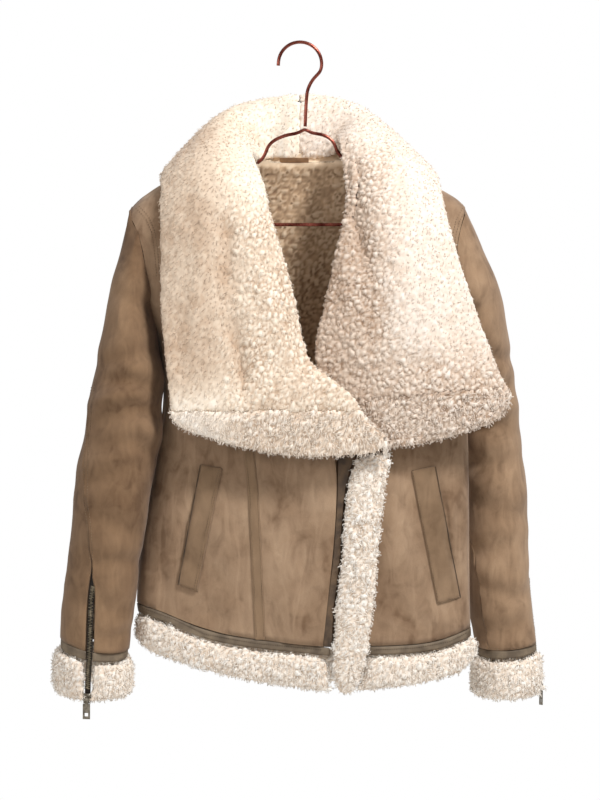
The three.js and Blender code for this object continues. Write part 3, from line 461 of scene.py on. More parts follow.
def set_points(piece, points):
    """Puts the piece's points at new places."""
    piece.data.vertices.foreach_set("co", np.ascontiguousarray(points, dtype=np.float32).ravel())
    piece.data.update()


def normals_of(piece):
    """The way each point of the piece faces."""
    out = np.empty(len(piece.data.vertices) * 3, dtype=np.float32)
    piece.data.vertex_normals.foreach_get("vector", out)
    return out.reshape(-1, 3).astype(float)


def triangles_of(piece):
    """Number of triangles of a piece."""
    return sum(len(p.vertices) - 2 for p in piece.data.polygons)


print("point tools ready")

# %% [markdown]
# A finished piece gets its material, the body that it rides on and the solids
# that it stands for in one call, so that none of them is forgotten.

# %% Dressing a piece
made = {}


def dress(piece, body, slot_name, material, *solids):
    """Gives a piece its finish and its body, and hides the solids that it stands for."""
    if material:
        piece.data.materials.clear()
        piece.data.materials.append(material)
    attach(piece, body)
    if solids:
        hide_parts(*solids)
    made[piece.name] = piece
    return piece


print("dressing tools ready")

# %% [markdown]
# Creases are placed as a dresser would see them. Each is a soft trough
# or ridge along a short line of the front or the back view: where it starts and
# ends, how high it stands or how deep it sinks, and how wide it is. They are
# uneven on purpose. The cloth moves as a whole, so the wall keeps its thickness.

# %% Creases
def swell(points, seed, size):
    """A smooth random number from -1 to 1 for each point, changing over a size in metres."""
    rng = np.random.default_rng(seed)
    total = np.zeros(len(points))
    for _ in range(7):
        way = rng.normal(size=3)
        way *= rng.uniform(0.6, 1.5) / np.linalg.norm(way) / size
        total += np.sin(points @ way * 2 * math.pi + rng.uniform(0, 6.3))
    return total / 4


def creases(points, table, seed):
    """Height over a set of creases, each row as (x1, z1, x2, z2, height, width) in millimetres."""
    x, z = points[:, 0] * 1000, points[:, 2] * 1000
    wobble = swell(points, seed, 0.07)
    height = np.zeros(len(points))
    for x1, z1, x2, z2, high, wide in table:
        long = math.hypot(x2 - x1, z2 - z1)
        ux, uz = (x2 - x1) / long, (z2 - z1) / long
        along = (x - x1) * ux + (z - z1) * uz
        aside = (x - x1) * -uz + (z - z1) * ux + 5 * wobble
        from_start, to_end = along + long * 0.15, long * 1.15 - along
        ends = np.clip(from_start / (long * 0.4), 0, 1) * np.clip(to_end / (long * 0.4), 0, 1)
        width = wide * (1 + 0.25 * wobble)
        height += high * (ends ** 1.5) * np.exp(-((aside / width) ** 2))
    return height / 1000


print("crease tools ready")

# %% Crease tables
FRONT_CREASES = [
    (-150, -560, -165, -690, 3.0, 16), (-120, -700, -95, -735, -2.0, 14), (-100, -560, -88, -680, 2.2, 14),
    (-40, -570, -30, -730, 2.0, 20), (0, -560, 10, -720, -2.0, 18), (-170, -450, -150, -540, -3.0, 16),
    (-160, -640, -175, -700, -2.5, 10), (190, -440, 150, -520, -3.0, 18), (120, -560, 118, -700, 2.4, 18),
    (205, -560, 208, -690, -2.2, 9), (150, -710, 200, -735, 2.0, 12), (175, -380, 196, -450, 2.5, 12),
    (-127, -535, -154, -677, -2.8, 4.5), (171, -537, 203, -690, -2.8, 4.5),
    (-170, -380, -150, -430, 2.5, 10), (60, -480, 110, -500, -2.0, 14), (-110, -480, -60, -500, -2.0, 14),
]
BACK_CREASES = [
    (-160, -420, -60, -470, -3.5, 18), (150, -400, 70, -455, -3.5, 18), (-120, -520, 40, -545, 2.6, 20),
    (-20, -620, 140, -600, -2.8, 18), (-90, -650, -110, -735, 3.0, 16), (30, -640, 20, -740, 3.2, 18),
    (130, -650, 150, -735, 3.0, 15), (-150, -280, -120, -350, -2.5, 16), (140, -270, 120, -340, -2.5, 16),
    (0, -300, 5, -480, 2.0, 24),
]
print("creases in front", len(FRONT_CREASES), "and at the back", len(BACK_CREASES))

# %% [markdown]
# Two more things shape the body. The wool presses its side seams shut, so their
# edges are drawn to the middle of the side below the arm. And the body's left
# edge swells out to meet the sleeve that hangs beside it. All that is sewn to the
# body moves by the same function, so nothing comes apart.

# %% How the body cloth moves
SEAM_REST = 0.0004
SEAM_REACH = 0.0136
SEAM_DEPTH = 0.014
UNDER_ARM = -0.412
CREASE_STRENGTH = 1.7
BESIDE = [
    (-0.74, 0), (-0.70, 0.004), (-0.655, 0.005), (-0.56, 0.0045),
    (-0.50, 0.005), (-0.415, 0.0065), (-0.33, 0.004), (-0.27, 0),
]


def close_sides(points, facing):
    """Draws the edge of a side seam to the middle of the side, below the arm."""
    depth = np.clip(facing * points[:, 1], SEAM_REST, None)
    at_side = (depth < SEAM_DEPTH) & (np.abs(points[:, 0]) > 0.16)
    below = np.clip((UNDER_ARM - points[:, 2]) / 0.02, 0, 1)
    drawn = SEAM_REST + SEAM_REACH * (depth / SEAM_DEPTH) ** 4
    points[:, 1] = np.where(at_side, facing * (depth + (drawn - depth) * below), points[:, 1])


def with_cloth(points, table, seed, facing):
    """Moves points as the body cloth moves, facing -1 for the front and 1 for the back."""
    height = creases(points, table, seed)
    height = height + 0.0011 * swell(points, seed + 1, 0.16) + 0.0005 * swell(points, seed + 2, 0.05)
    points[:, 1] += facing * CREASE_STRENGTH * height
    heights, shifts = zip(*BESIDE)
    at_left = np.clip((-0.17 - points[:, 0]) / 0.02, 0, 1)
    points[:, 0] -= np.interp(points[:, 2], heights, shifts) * at_left
    close_sides(points, facing)
    return points


print("the left edge moves by up to", max(shift for _, shift in BESIDE), "m")

# %% [markdown]
# Four body panels are dressed now. Each is one skin: suede outside and wool
# inside. The faces that look into the jacket get the pile as their finish, so the
# lining shows through the open hem and the neck as on the real skin. The faces
# inside a side seam stay suede, because pale wool would shine through the seam.

# %% Body panels
def wool_inside(piece, inner, is_inner):
    """Gives a second finish to the faces that look inwards."""
    piece.data.materials.append(inner)
    count = len(piece.data.polygons)
    flat = np.empty(count * 3)
    piece.data.polygons.foreach_get("normal", flat)
    centre = np.empty(count * 3)
    piece.data.polygons.foreach_get("center", centre)
    picked = is_inner(centre.reshape(-1, 3), flat.reshape(-1, 3))
    piece.data.polygons.foreach_set("material_index", picked.astype(np.int32))
    piece.data.update()


def inner_of_panel(facing):
    """Picks the faces of a panel that look into the jacket, and not those in its side seam."""
    def picked(centre, normal):
        inwards = normal[:, 1] * facing < -0.25
        outwards = np.sign(centre[:, 0]) * normal[:, 0]
        at_side = np.abs(centre[:, 0]) > 0.15
        in_seam = at_side & (np.abs(centre[:, 1]) < 0.012) & (outwards > -0.35)
        return inwards & ~in_seam & ~(at_side & (outwards > 0.3))

    return picked


def body_panel(node, name, facing, table, seed, levels=3):
    """One panel of the body with its creases, and wool inside."""
    piece = fine_copy(node, name, levels)
    set_points(piece, with_cloth(points_of(piece), table, seed, facing))
    dress(piece, "jacket", "suede", suede, node)
    wool_inside(piece, lining, inner_of_panel(facing))
    smooth(piece)
    print(name, triangles_of(piece), "triangles")
    return piece


left_side = body_panel("front_left_side", "front_left_side_cloth", -1, FRONT_CREASES, 11)
left_centre = body_panel("front_left_centre", "front_left_centre_cloth", -1, FRONT_CREASES, 11)
right_front = body_panel("front_right", "front_right_cloth", -1, FRONT_CREASES, 11)
back = body_panel("back", "back_cloth", 1, BACK_CREASES, 21, levels=2)

# %% [markdown]
# A sleeve is two long pieces round one arm. It creases across: deep soft folds at
# the elbow, shallow ones above the cuff and under the arm. A row gives a crease's
# height on the arm, its slope, how far it stands out and how wide it is in
# millimetres, and the side it is deepest on. The cloth beside the zip stays flat
# and keeps clear of the teeth, and the sleeve's head rises to meet the shoulder.

# %% Sleeve tables
SLEEVE_CREASES = {
    "left": [
        (-395, 0.20, -2.6, 12, -0.6), (-430, -0.25, -3.6, 13, 0.5), (-470, 0.30, -4.2, 15, 0.9),
        (-505, -0.15, -3.0, 12, 0.6), (-540, 0.25, -2.4, 14, -0.5), (-600, -0.3, -2.0, 16, 0.2),
        (-655, 0.2, -2.6, 13, 0.7), (-705, -0.2, -2.2, 12, -0.3), (-745, 0.25, -2.2, 10, 0.4),
        (-330, -0.5, -2.4, 14, 0.8), (-450, 0.1, 2.0, 10, 0.0), (-780, 0.1, -1.6, 9, 0.1),
    ],
    "right": [
        (-390, -0.25, -2.8, 12, 0.8), (-440, 0.25, -3.8, 14, -0.5), (-485, -0.3, -4.0, 14, -0.9),
        (-530, 0.2, -2.8, 13, -0.3), (-590, -0.25, -2.2, 15, 0.5), (-640, 0.25, -2.6, 14, -0.7),
        (-690, -0.2, -2.2, 12, 0.2), (-735, 0.25, -2.4, 11, -0.5), (-335, 0.5, -2.4, 14, -0.8),
        (-770, -0.2, -1.8, 10, 0.4), (-465, 0.1, 2.0, 10, 0.0),
    ],
}
ARM_AXIS = {
    "left": [
        (-220, -216), (-205, -330), (-212, -400), (-216, -465),
        (-232, -560), (-245, -660), (-258, -770), (-260, -830),
    ],
    "right": [
        (215, -216), (225, -330), (236, -400), (242, -465),
        (248, -560), (252, -660), (263, -770), (264, -830),
    ],
}
ARM_DEPTH = {"left": [0, -8, -20, -30, -38, -37, -31, -30], "right": [0, 16, 34, 45, 51, 51, 50, 48]}


def arm_axis(hand, points):
    """Nearest point of the arm's middle line, by height, in metres."""
    z = points[:, 2] * 1000
    heights = [-p[1] for p in ARM_AXIS[hand]]
    x = np.interp(-z, heights, [p[0] for p in ARM_AXIS[hand]])
    y = np.interp(-z, heights, ARM_DEPTH[hand])
    return np.stack([x, y, z], axis=1) / 1000


def middle_line(node, steps):
    """Middle points of a long thin solid, from its top to its foot."""
    points = points_of(nodes[node])
    heights = np.linspace(points[:, 2].max() - 0.001, points[:, 2].min() + 0.001, steps)
    span = (heights[0] - heights[-1]) / steps
    line = []
    for height in heights:
        near = np.abs(points[:, 2] - height) < max(span, 0.008)
        line.append(points[near].mean(axis=0))
    return np.array(line)


ZIP_STEPS = 14
ZIPS = {hand: middle_line(f"zip_chain_{hand}", ZIP_STEPS) for hand in ("left", "right")}
print("zip length", round(float(np.linalg.norm(np.diff(ZIPS["left"], axis=0), axis=1).sum()), 3), "m")

# %% How a sleeve creases
def beside_zip(points, hand):
    """How near each point is to the zip, 1 at its middle, and the way from the zip to the point."""
    line = ZIPS[hand]
    heights = line[::-1, 2]
    middle = np.stack([np.interp(points[:, 2], heights, line[::-1, k]) for k in range(3)], axis=1)
    middle[:, 2] = points[:, 2]
    off = points - middle
    gap = np.linalg.norm(off, axis=1)
    level = np.clip((line[0, 2] + 0.012 - points[:, 2]) / 0.012, 0, 1)
    return np.exp(-((gap / 0.013) ** 2)) * level, off / (gap[:, None] + 1e-6)


ARM_TOP, ARM_FOOT = -215, -808
HEAD_FOOT = -0.262
HEAD_RISE = 0.0155
ZIP_CLEARANCE = 0.0017


def crease_sleeve(points, hand, seed):
    """Moves sleeve points in and out round the arm."""
    middle = arm_axis(hand, points)
    away = points - middle
    away[:, 2] = 0
    reach = np.linalg.norm(away, axis=1)[:, None] + 1e-6
    out = away / reach
    x, z = points[:, 0] * 1000, points[:, 2] * 1000
    wobble = swell(points, seed, 0.09)
    height = 1.8 + 1.5 * swell(points, seed + 1, 0.13) + 0.7 * swell(points, seed + 2, 0.045)
    for at, slope, high, wide, side in SLEEVE_CREASES[hand]:
        aside = z - at - slope * (x - middle[:, 0] * 1000) + 6 * wobble
        share = (2.1 - 1.4 * out[:, 0] ** 4) * np.clip(0.55 + 0.55 * (out[:, 0] * side - out[:, 1] * 0.5), 0.05, 1)
        fold = np.exp(-((aside / wide) ** 2))
        bulge = np.exp(-(((aside - wide * 1.7) / wide) ** 2))
        height += high * share * fold - 0.35 * high * share * bulge
    fade = np.clip((ARM_TOP - z) / 90, 0, 1) * np.clip((z - ARM_FOOT) / 24, 0, 1)
    near, aside_way = beside_zip(points, hand)
    fade *= 1 - near
    aside_way -= out * (aside_way * out).sum(axis=1)[:, None]
    across = np.clip(1 - np.abs(points[:, 1] - 0.001) / 0.027, 0, 1)
    crown = across ** 0.8 * np.clip((points[:, 2] - HEAD_FOOT) / 0.044, 0, 1)
    rise = crown[:, None] * (-0.002 * np.sign(middle[0, 0]), 0, HEAD_RISE)
    return points + rise + out * (height * fade / 1000)[:, None] + aside_way * (ZIP_CLEARANCE * near)[:, None]


print("sleeve tools ready")

# %% Sleeves
def inner_of_sleeve(hand):
    """Picks the faces of a sleeve that look at the arm, and not those at its top end."""
    def picked(centre, normal):
        towards = ((centre - arm_axis(hand, centre)) * normal * (1, 1, 0)).sum(axis=1) < -0.006
        at_head = (centre[:, 2] > HEAD_FOOT) & (normal[:, 2] > 0.25)
        return towards & ~at_head & (centre[:, 2] < -0.222)

    return picked


def sleeve_piece(node, name, hand, seed):
    """One long piece of a sleeve, creased, suede outside and wool inside."""
    piece = fine_copy(node, name, 3 if "upper" in node else 2)
    set_points(piece, crease_sleeve(points_of(piece), hand, seed))
    # The sleeve's suede copy is darker as painted shade.
    dress(piece, "jacket", "suede", shaded_sleeve_suede[hand], node)
    wool_inside(piece, lining, inner_of_sleeve(hand))
    smooth(piece)
    print(name, triangles_of(piece), "triangles")
    return piece


SLEEVES = {}
for hand, seed in (("left", 31), ("right", 41)):
    for part in ("upper", "under"):
        SLEEVES[hand, part] = sleeve_piece(f"sleeve_{hand}_{part}", f"sleeve_{hand}_{part}_cloth", hand, seed)

# %% [markdown]
# Bindings, the tape over the princess seam and the pocket welts are small bands.
# They get the same fine copy, with soft rims, and follow the creases of the cloth
# that they are sewn to.

# %% Bands that are sewn on
def band_piece(node, name, material, slot_name, move, levels=2):
    """A band that follows the cloth under it."""
    piece = fine_copy(node, name, levels, rim=45, rim_crease=0.7)
    set_points(piece, move(points_of(piece)))
    dress(piece, "jacket", slot_name, material, node)
    smooth(piece)
    return piece


def with_front(points):
    """Moves points as the front cloth moved."""
    return with_cloth(points, FRONT_CREASES, 11, -1)


def with_back(points):
    """Moves points as the back cloth moved."""
    return with_cloth(points, BACK_CREASES, 21, 1)


BANDS = [
    ("hem_binding_left", binding, "binding", with_front), ("hem_binding_right", binding, "binding", with_front),
    ("hem_binding_back", binding, "binding", with_back), ("front_binding", shaded_binding, "binding", with_front),
    ("seam_tape_left", welt_suede, "suede", with_front), ("pocket_welt_left", welt_suede, "suede", with_front),
    ("pocket_welt_right", welt_suede, "suede", with_front), ("cuff_binding_left", binding, "binding", lambda p: p),
    ("cuff_binding_right", binding, "binding", lambda p: p),
]
for node, material, slot_name, move in BANDS:
    band_piece(node, node + "_cloth", material, slot_name, move)
print("bands", len(BANDS))

# %% [markdown]
# Fleece is made in two layers. The first is a skin: a copy of the solid, drawn in
# and raised into curls, a dome for each. The second is a fuzz: thousands of short
# tapered locks that stand on the curls, bend over and lean together. Particle
# hair would look finer, but it isn't a mesh. All locks of a piece are built at
# once as one joined mesh. Both layers start from evenly scattered points.

# %% Points on a skin
HASH = (73856093, 19349663, 83492791)


def spots_on(piece, spacing, seed):
    """Evenly scattered points of a piece and the way it faces there."""
    mesh = piece.data
    mesh.calc_loop_triangles()
    corners = np.empty(len(mesh.loop_triangles) * 3, dtype=np.int32)
    mesh.loop_triangles.foreach_get("vertices", corners)
    corners = corners.reshape(-1, 3)
    at, face = points_of(piece), normals_of(piece)
    a, b, c = at[corners[:, 0]], at[corners[:, 1]], at[corners[:, 2]]
    area = np.linalg.norm(np.cross(b - a, c - a), axis=1) / 2
    rng = np.random.default_rng(seed)
    count = int(area.sum() / spacing ** 2 * 3)
    pick = rng.choice(len(area), size=count, p=area / area.sum())
    u, v = rng.random(count), rng.random(count)
    u, v = np.where(u + v > 1, 1 - u, u), np.where(u + v > 1, 1 - v, v)
    w = 1 - u - v
    spots = a[pick] * w[:, None] + b[pick] * u[:, None] + c[pick] * v[:, None]
    facing = [face[corners[pick, k]] for k in range(3)]
    ways = facing[0] * w[:, None] + facing[1] * u[:, None] + facing[2] * v[:, None]
    cell = np.floor(spots / spacing).astype(np.int64)
    key = cell[:, 0] * HASH[0] ^ cell[:, 1] * HASH[1] ^ cell[:, 2] * HASH[2]
    first = np.unique(key, return_index=True)[1]
    ways /= np.linalg.norm(ways, axis=1)[:, None] + 1e-9
    return spots[first], ways[first]


def open_ones(spots, ways, trees, reach):
    """Which points see nothing close in front of them."""
    free = np.ones(len(spots), dtype=bool)
    for i, (spot, way) in enumerate(zip(spots, ways)):
        start = Vector(spot + way * 0.002)
        free[i] = all(tree.ray_cast(start, Vector(way), reach)[0] is None for tree in trees)
    return free


print("scatter tools ready")

# %% [markdown]
# A lock starts on the skin, rises along the way the skin faces and bends over
# towards its lay. Neighbours lean to the middle of their tuft, so the fuzz breaks
# up as the curls under it do. A lock has three sides and two rings, so that tens
# of thousands of them stay light.

# %% Tufts
SIDES = 3
RINGS = (0.0, 0.6)
TUFT = 0.0062
LEAN = 0.4


def across_to(ways, lay):
    """The lay with what points along the way taken off, at length 1."""
    flat = lay - ways * (lay * ways).sum(axis=1)[:, None]
    return flat / (np.linalg.norm(flat, axis=1)[:, None] + 1e-9)


def tufts(spots, ways, rng):
    """Number of each spot's tuft, how many tufts there are, and the way to its middle along the skin."""
    cells = np.floor(spots / TUFT + rng.random(3)).astype(np.int64)
    starts = np.unique(cells, axis=0, return_index=True)[1]
    tree = KDTree(len(starts))
    for i, index in enumerate(starts):
        tree.insert(Vector(spots[index]), i)
    tree.balance()
    nearest = np.array([tree.find(Vector(spot))[1] for spot in spots])
    centres = np.zeros((len(starts), 3))
    share = np.bincount(nearest, minlength=len(starts)).clip(1)
    for k in range(3):
        centres[:, k] = np.bincount(nearest, weights=spots[:, k], minlength=len(starts)) / share
    pull = centres[nearest] - spots
    pull -= ways * (pull * ways).sum(axis=1)[:, None]
    return nearest, len(starts), pull


print("a lock has", SIDES * 2 * (len(RINGS) - 1) + SIDES + 1, "triangles")

# %% Meshes from arrays
def store(mesh, name, numbers):
    """Keeps a number on each point of a mesh, for the finish to read."""
    mesh.attributes.new(name, "FLOAT", "POINT").data.foreach_set("value", numbers.astype(np.float32))


def triangle_mesh(name, points, faces):
    """A smooth mesh from rows of points and rows of three point numbers."""
    mesh = bpy.data.meshes.new(name)
    mesh.vertices.add(len(points))
    mesh.vertices.foreach_set("co", points.astype(np.float32).ravel())
    mesh.loops.add(faces.size)
    mesh.loops.foreach_set("vertex_index", faces.astype(np.int32).ravel())
    mesh.polygons.add(len(faces))
    mesh.polygons.foreach_set("loop_start", (np.arange(len(faces)) * 3).astype(np.int32))
    mesh.polygons.foreach_set("use_smooth", np.ones(len(faces), dtype=bool))
    mesh.update(calc_edges=True)
    return mesh


def lock_faces(count):
    """Triangles of a number of locks: a foot, walls between the rings, and a tip."""
    each = SIDES * len(RINGS) + 1
    faces = [(2, 1, 0)]
    for r in range(len(RINGS) - 1):
        for k in range(SIDES):
            a, b = r * SIDES + k, r * SIDES + (k + 1) % SIDES
            faces += [(a, b, b + SIDES), (a, b + SIDES, a + SIDES)]
    last = (len(RINGS) - 1) * SIDES
    faces += [(last + k, last + (k + 1) % SIDES, each - 1) for k in range(SIDES)]
    return (np.array(faces)[None] + (np.arange(count) * each)[:, None, None]).reshape(-1, 3)


print("mesh tools ready")

# %% Wool locks
def lock_points(spots, ways, down, length, angle, swirl, pull, thick):
    """Points of all locks, each bent along an arc, and how near the lit tip they are, painted darker towards the
    root as shade.
    """
    side = np.cross(ways, down)
    curve = length / angle
    points, lit_tip = [], []
    for t in RINGS + (1.0,):
        bow = angle * t
        middle = spots + ways * (curve * np.sin(bow))[:, None] + down * (curve * (1 - np.cos(bow)))[:, None]
        middle += side * (length * swirl * t * t)[:, None] + pull * (LEAN * t)
        if t == 1.0:
            points.append(middle[:, None, :])
            lit_tip.append(np.full((len(spots), 1), 0.85))
            continue
        normal = ways * np.cos(bow)[:, None] + down * np.sin(bow)[:, None]
        rise = np.cross(side, normal)
        wide = thick * (0.9 + 0.5 * t - 0.7 * t * t)
        ring = []
        for k in range(SIDES):
            phase = 2 * math.pi * k / SIDES + math.pi / 2
            ring.append(middle + side * (wide * math.cos(phase)) * 1.35 - rise * (wide * math.sin(phase)) * 0.9)
        points.append(np.stack(ring, axis=1))
        # Lower rings are painted darker: shade at the foot of the lock.
        lit_tip.append(np.full((len(spots), SIDES), 0.62 + 0.2 * t))
    return np.concatenate(points, axis=1).reshape(-1, 3), np.concatenate(lit_tip, axis=1)


def locks(name, spots, ways, lay, material, seed, long, bend, thick, painted_shade=None):
    """One mesh with a lock of wool on every spot."""
    rng = np.random.default_rng(seed)
    count = len(spots)
    turn = np.stack([swell(spots, seed + k, 0.018) for k in range(3)], axis=1)
    down = across_to(ways, lay + 0.9 * turn + rng.normal(size=(count, 3)) * 0.25)
    length = long * (1 + 0.22 * swell(spots, seed + 5, 0.02) + rng.normal(size=count) * 0.12).clip(0.5, 1.6)
    angle = bend * rng.uniform(0.75, 1.2, size=count)
    nearest, tuft_count, pull = tufts(spots, ways, rng)
    tuft_tone = np.random.default_rng(seed + 9).random(tuft_count)[nearest]
    swirl = rng.normal(size=count) * 0.15
    points, lit_tip = lock_points(spots, ways, down, length, angle, swirl, pull, thick)
    # The collar's painted shade map darkens the locks as it darkens the skin.
    lit_tip = (lit_tip * painted_shade(spots)[:, None] if painted_shade else lit_tip).reshape(-1)
    mesh = triangle_mesh(name, points, lock_faces(count))
    tone = np.clip(0.6 * tuft_tone + 0.4 * rng.random(count), 0, 1)
    store(mesh, "lit_tip", lit_tip)
    store(mesh, "tone", np.repeat(tone, SIDES * len(RINGS) + 1))
    wool = bpy.data.objects.new(name, mesh)
    bpy.context.scene.collection.objects.link(wool)
    dress(wool, "jacket", "fur", material)
    return wool


print("lock tools ready")

# %% [markdown]
# The skin carries the curls. It is the solid drawn in by their height and remade
# on an even grid, because a subdivided copy has long thin faces that would tear a
# curl. Each of many scattered middles then raises a dome, up to the line where
# the next one starts. Hollows get painted shade, as dark as the roots, and domes
# are marked as lit tips. Where the real wool is combed smooth the domes are lower.

# %% Skins under the wool
def nubs(piece, spacing, relief, seed, calm=None, tall=1.0, painted_shade=None):
    """Raises the skin into curls: a dome round each of many scattered middles, with painted shade in the hollows.
    """
    points, ways = points_of(piece), normals_of(piece)
    middles = spots_on(piece, spacing, seed)[0]

    def bent(at):
        off = np.stack([swell(at, seed + 20 + k, 0.013) for k in range(3)], axis=1)
        return (at + 0.0017 * off) * (1, 1, tall)

    tree = KDTree(len(middles))
    for i, middle in enumerate(bent(middles)):
        tree.insert(Vector(middle), i)
    tree.balance()
    found = [tree.find_n(Vector(at), 2) for at in bent(points)]
    owner = np.array([pair[0][1] for pair in found])
    gap = np.array([pair[1][2] - pair[0][2] for pair in found])
    edge = np.clip(gap / (0.85 * spacing), 0, 1)
    dome = 0.5 * np.sin(edge * math.pi / 2) + 0.5 * np.sqrt(edge * (2 - edge))
    rng = np.random.default_rng(seed + 1)
    high = rng.uniform(0.72, 1.18, size=len(middles))[owner]
    soft = calm(points) if calm else 1.0
    set_points(piece, points + ways * (relief * dome * high * soft)[:, None])
    # Hollows between the domes get painted shade, and the shade map darkens the wool further.
    lit_tip = 1 - (1.08 - dome * high.clip(0.85, 1.0)) * soft
    lit_tip = lit_tip * painted_shade(points) if painted_shade else lit_tip
    store(piece.data, "lit_tip", np.clip(lit_tip, 0, 1))
    store(piece.data, "tone", rng.random(len(middles))[owner])


def skin(node, name, inwards, material, seed, grid, curl, relief, shape=None, calm=None, tall=1.0, painted_shade=None):
    """A drawn-in, curly copy of a fur solid."""
    piece = fine_copy(node, name, 2, rim=70, rim_crease=0.25)
    points, ways = points_of(piece), normals_of(piece)
    drawn = points - ways * (inwards + 0.0009 * swell(points, seed, 0.012))[:, None]
    points = shape(points, drawn, ways) if shape else drawn
    set_points(piece, points)
    apply_modifier(piece, "REMESH", mode="VOXEL", voxel_size=grid)
    nubs(piece, curl, relief, seed, calm, tall, painted_shade)
    dress(piece, "jacket", "fur", material, node)
    only(piece)
    bpy.ops.object.shade_smooth()
    return piece


print("skin tools ready")

# %% [markdown]
# One call makes both layers of a fur piece. Locks are left out where something
# lies close in front of them, because nobody can see them there.

# %% Fleece on a solid
def tree_of(*pieces):
    """Search trees of pieces, for rays."""
    graph = bpy.context.evaluated_depsgraph_get()
    return [BVHTree.FromObject(piece, graph) for piece in pieces]


def fleece(node, material, inwards, spacing, lay_of, seed, nap, reach=0.022, blockers=(), **lock_settings):
    """Skin and wool of one fur piece."""
    under = skin(node, node + "_skin", inwards, material, seed, **nap)
    spots, ways = spots_on(under, spacing, seed)
    free = open_ones(spots, ways, tree_of(under, *blockers), reach)
    spots, ways = spots[free], ways[free]
    lay = lay_of(spots, ways)
    wool = locks(node + "_wool", spots, ways, lay, material, seed, painted_shade=nap.get("painted_shade"), **lock_settings)
    print(node, len(spots), "locks", triangles_of(under) + triangles_of(wool), "triangles")
    return under, wool


print("fleece tools ready")

# %% [markdown]
# The collar is the heart of the jacket. Its left half is creamy, and its wool is
# combed downwards, smooth at the outer side and in waves near the opening. The
# right half is nubbly and a little pinkish. Its soft folds are given like the
# creases of the cloth, and painted shade darkens the wool in them. Seams are drawn
# together, so that no slot shows between two rows of curls.

# %% How the collar folds
def downwards(spots, ways):
    """Lay of wool that hangs down."""
    return np.tile((0.0, -0.1, -0.9), (len(spots), 1))


def slack(spots, ways):
    """Lay of wool that curls every way."""
    return np.tile((0.05, -0.1, -0.3), (len(spots), 1))


COLLAR_CREASES = {
    "left": [
        (-98, -215, -84, -330, -5.5, 15), (-84, -330, -72, -440, -6.5, 12), (-73, -412, -71, -446, -4.0, 4),
        (-50, -190, -38, -400, 2.5, 18), (-66, -92, -46, -140, -4.0, 8), (-120, -150, -128, -380, 2.0, 20),
        (-150, -330, -140, -440, -2.5, 14), (-46, -300, 0, -440, 3.5, 13),
    ],
    "right": [
        (52, -110, 66, -190, -5.0, 10), (66, -190, 84, -300, -6.0, 11), (84, -300, 96, -400, -2.5, 16),
        (100, -180, 140, -380, 2.2, 24), (48, -230, 60, -340, 2.5, 10), (170, -240, 215, -420, -2.5, 18),
        (60, -420, 180, -400, -1.8, 12),
    ],
}
TRIM_SEAM = {"left": (-0.463, 0.0), "right": (-0.452, 0.07)}
SEAM_WIDTH = 0.009
TRIM_PULL = 0.0034
BACK_PULL = 0.0042
BEHIND_NECK = 0.015


def collar_shape(hand):
    """Adds the soft folds of the collar, and keeps its trim seam closed."""
    height, slope = TRIM_SEAM[hand]
    own_side = 0.0001 if hand == "right" else -0.0001

    def shape(points, drawn, ways):
        faces_out = np.clip(-ways[:, 1] * 1.6, 0, 1)
        drawn[:, 1] -= creases(points, COLLAR_CREASES[hand], 57) * faces_out
        above = points[:, 2] - (height + slope * points[:, 0])
        near = np.clip(1 - np.abs(above) / SEAM_WIDTH, 0, 1) * np.clip(np.abs(ways[:, 2]) * 2, 0.4, 1)
        drawn[:, 2] -= np.sign(above) * near * TRIM_PULL
        middle = np.clip(1 - np.abs(points[:, 0]) / SEAM_WIDTH, 0, 1) * (points[:, 1] > BEHIND_NECK)
        drawn[:, 0] -= np.sign(points[:, 0] + own_side) * middle * BACK_PULL
        return drawn

    return shape


print("collar folds", {hand: len(table) for hand, table in COLLAR_CREASES.items()})

# %% [markdown]
# Two kinds of map steer the wool of each half. Shade is painted shade: it says how
# light the wool is painted, from 0 to 1, darker in folds and where the wool turns
# from the light. Calm says how high its curls stand.

# %% Maps of the collar's wool
def painted_shade_left(points):
    """Painted shade of the left half: darker wool in the folds and at its outer side, which turns from the light.
    """
    folds = np.clip(-creases(points, COLLAR_CREASES["left"], 57) / 0.008, 0, 1)
    outer = np.clip((-0.06 - points[:, 0]) / 0.055, 0, 1) * np.clip((points[:, 2] + 0.47) / 0.05, 0, 1)
    return np.clip(1 - 0.55 * folds - 0.72 * outer, 0.2, 1)


def painted_shade_right(points):
    """Painted shade of the right half: darker wool in the long fold, in the curls near the opening, which turn
    from the light, and along the trim seam.
    """
    folds = np.clip(-creases(points, COLLAR_CREASES["right"], 57) / 0.007, 0, 1)
    inner = np.clip((0.11 - points[:, 0]) / 0.06, 0, 1) * np.clip((-0.19 - points[:, 2]) / 0.06, 0, 1)
    seam = np.exp(-(((points[:, 2] + 0.452 - 0.07 * points[:, 0]) / 0.0035) ** 2))
    return 1 - 0.45 * folds - 0.42 * inner - 0.4 * seam * (1 - inner)


def calm_left(points):
    """Relief of the left half: smooth at its outer side and its top."""
    out = np.clip((-0.06 - points[:, 0]) / 0.05, 0, 1)
    top = np.clip((points[:, 2] + 0.24) / 0.06, 0, 1)
    return 1 - 0.62 * np.maximum(out, 0.8 * top)


def calm_right(points):
    """Relief of the right half: smooth towards the shoulder, nubbly inside."""
    out = np.clip((points[:, 0] - 0.09) / 0.05, 0, 1) * np.clip((points[:, 2] + 0.42) / 0.06, 0, 1)
    top = np.clip((points[:, 2] + 0.17) / 0.05, 0, 1)
    return 1 - 0.6 * np.maximum(out, 0.8 * top)


print("collar maps ready")

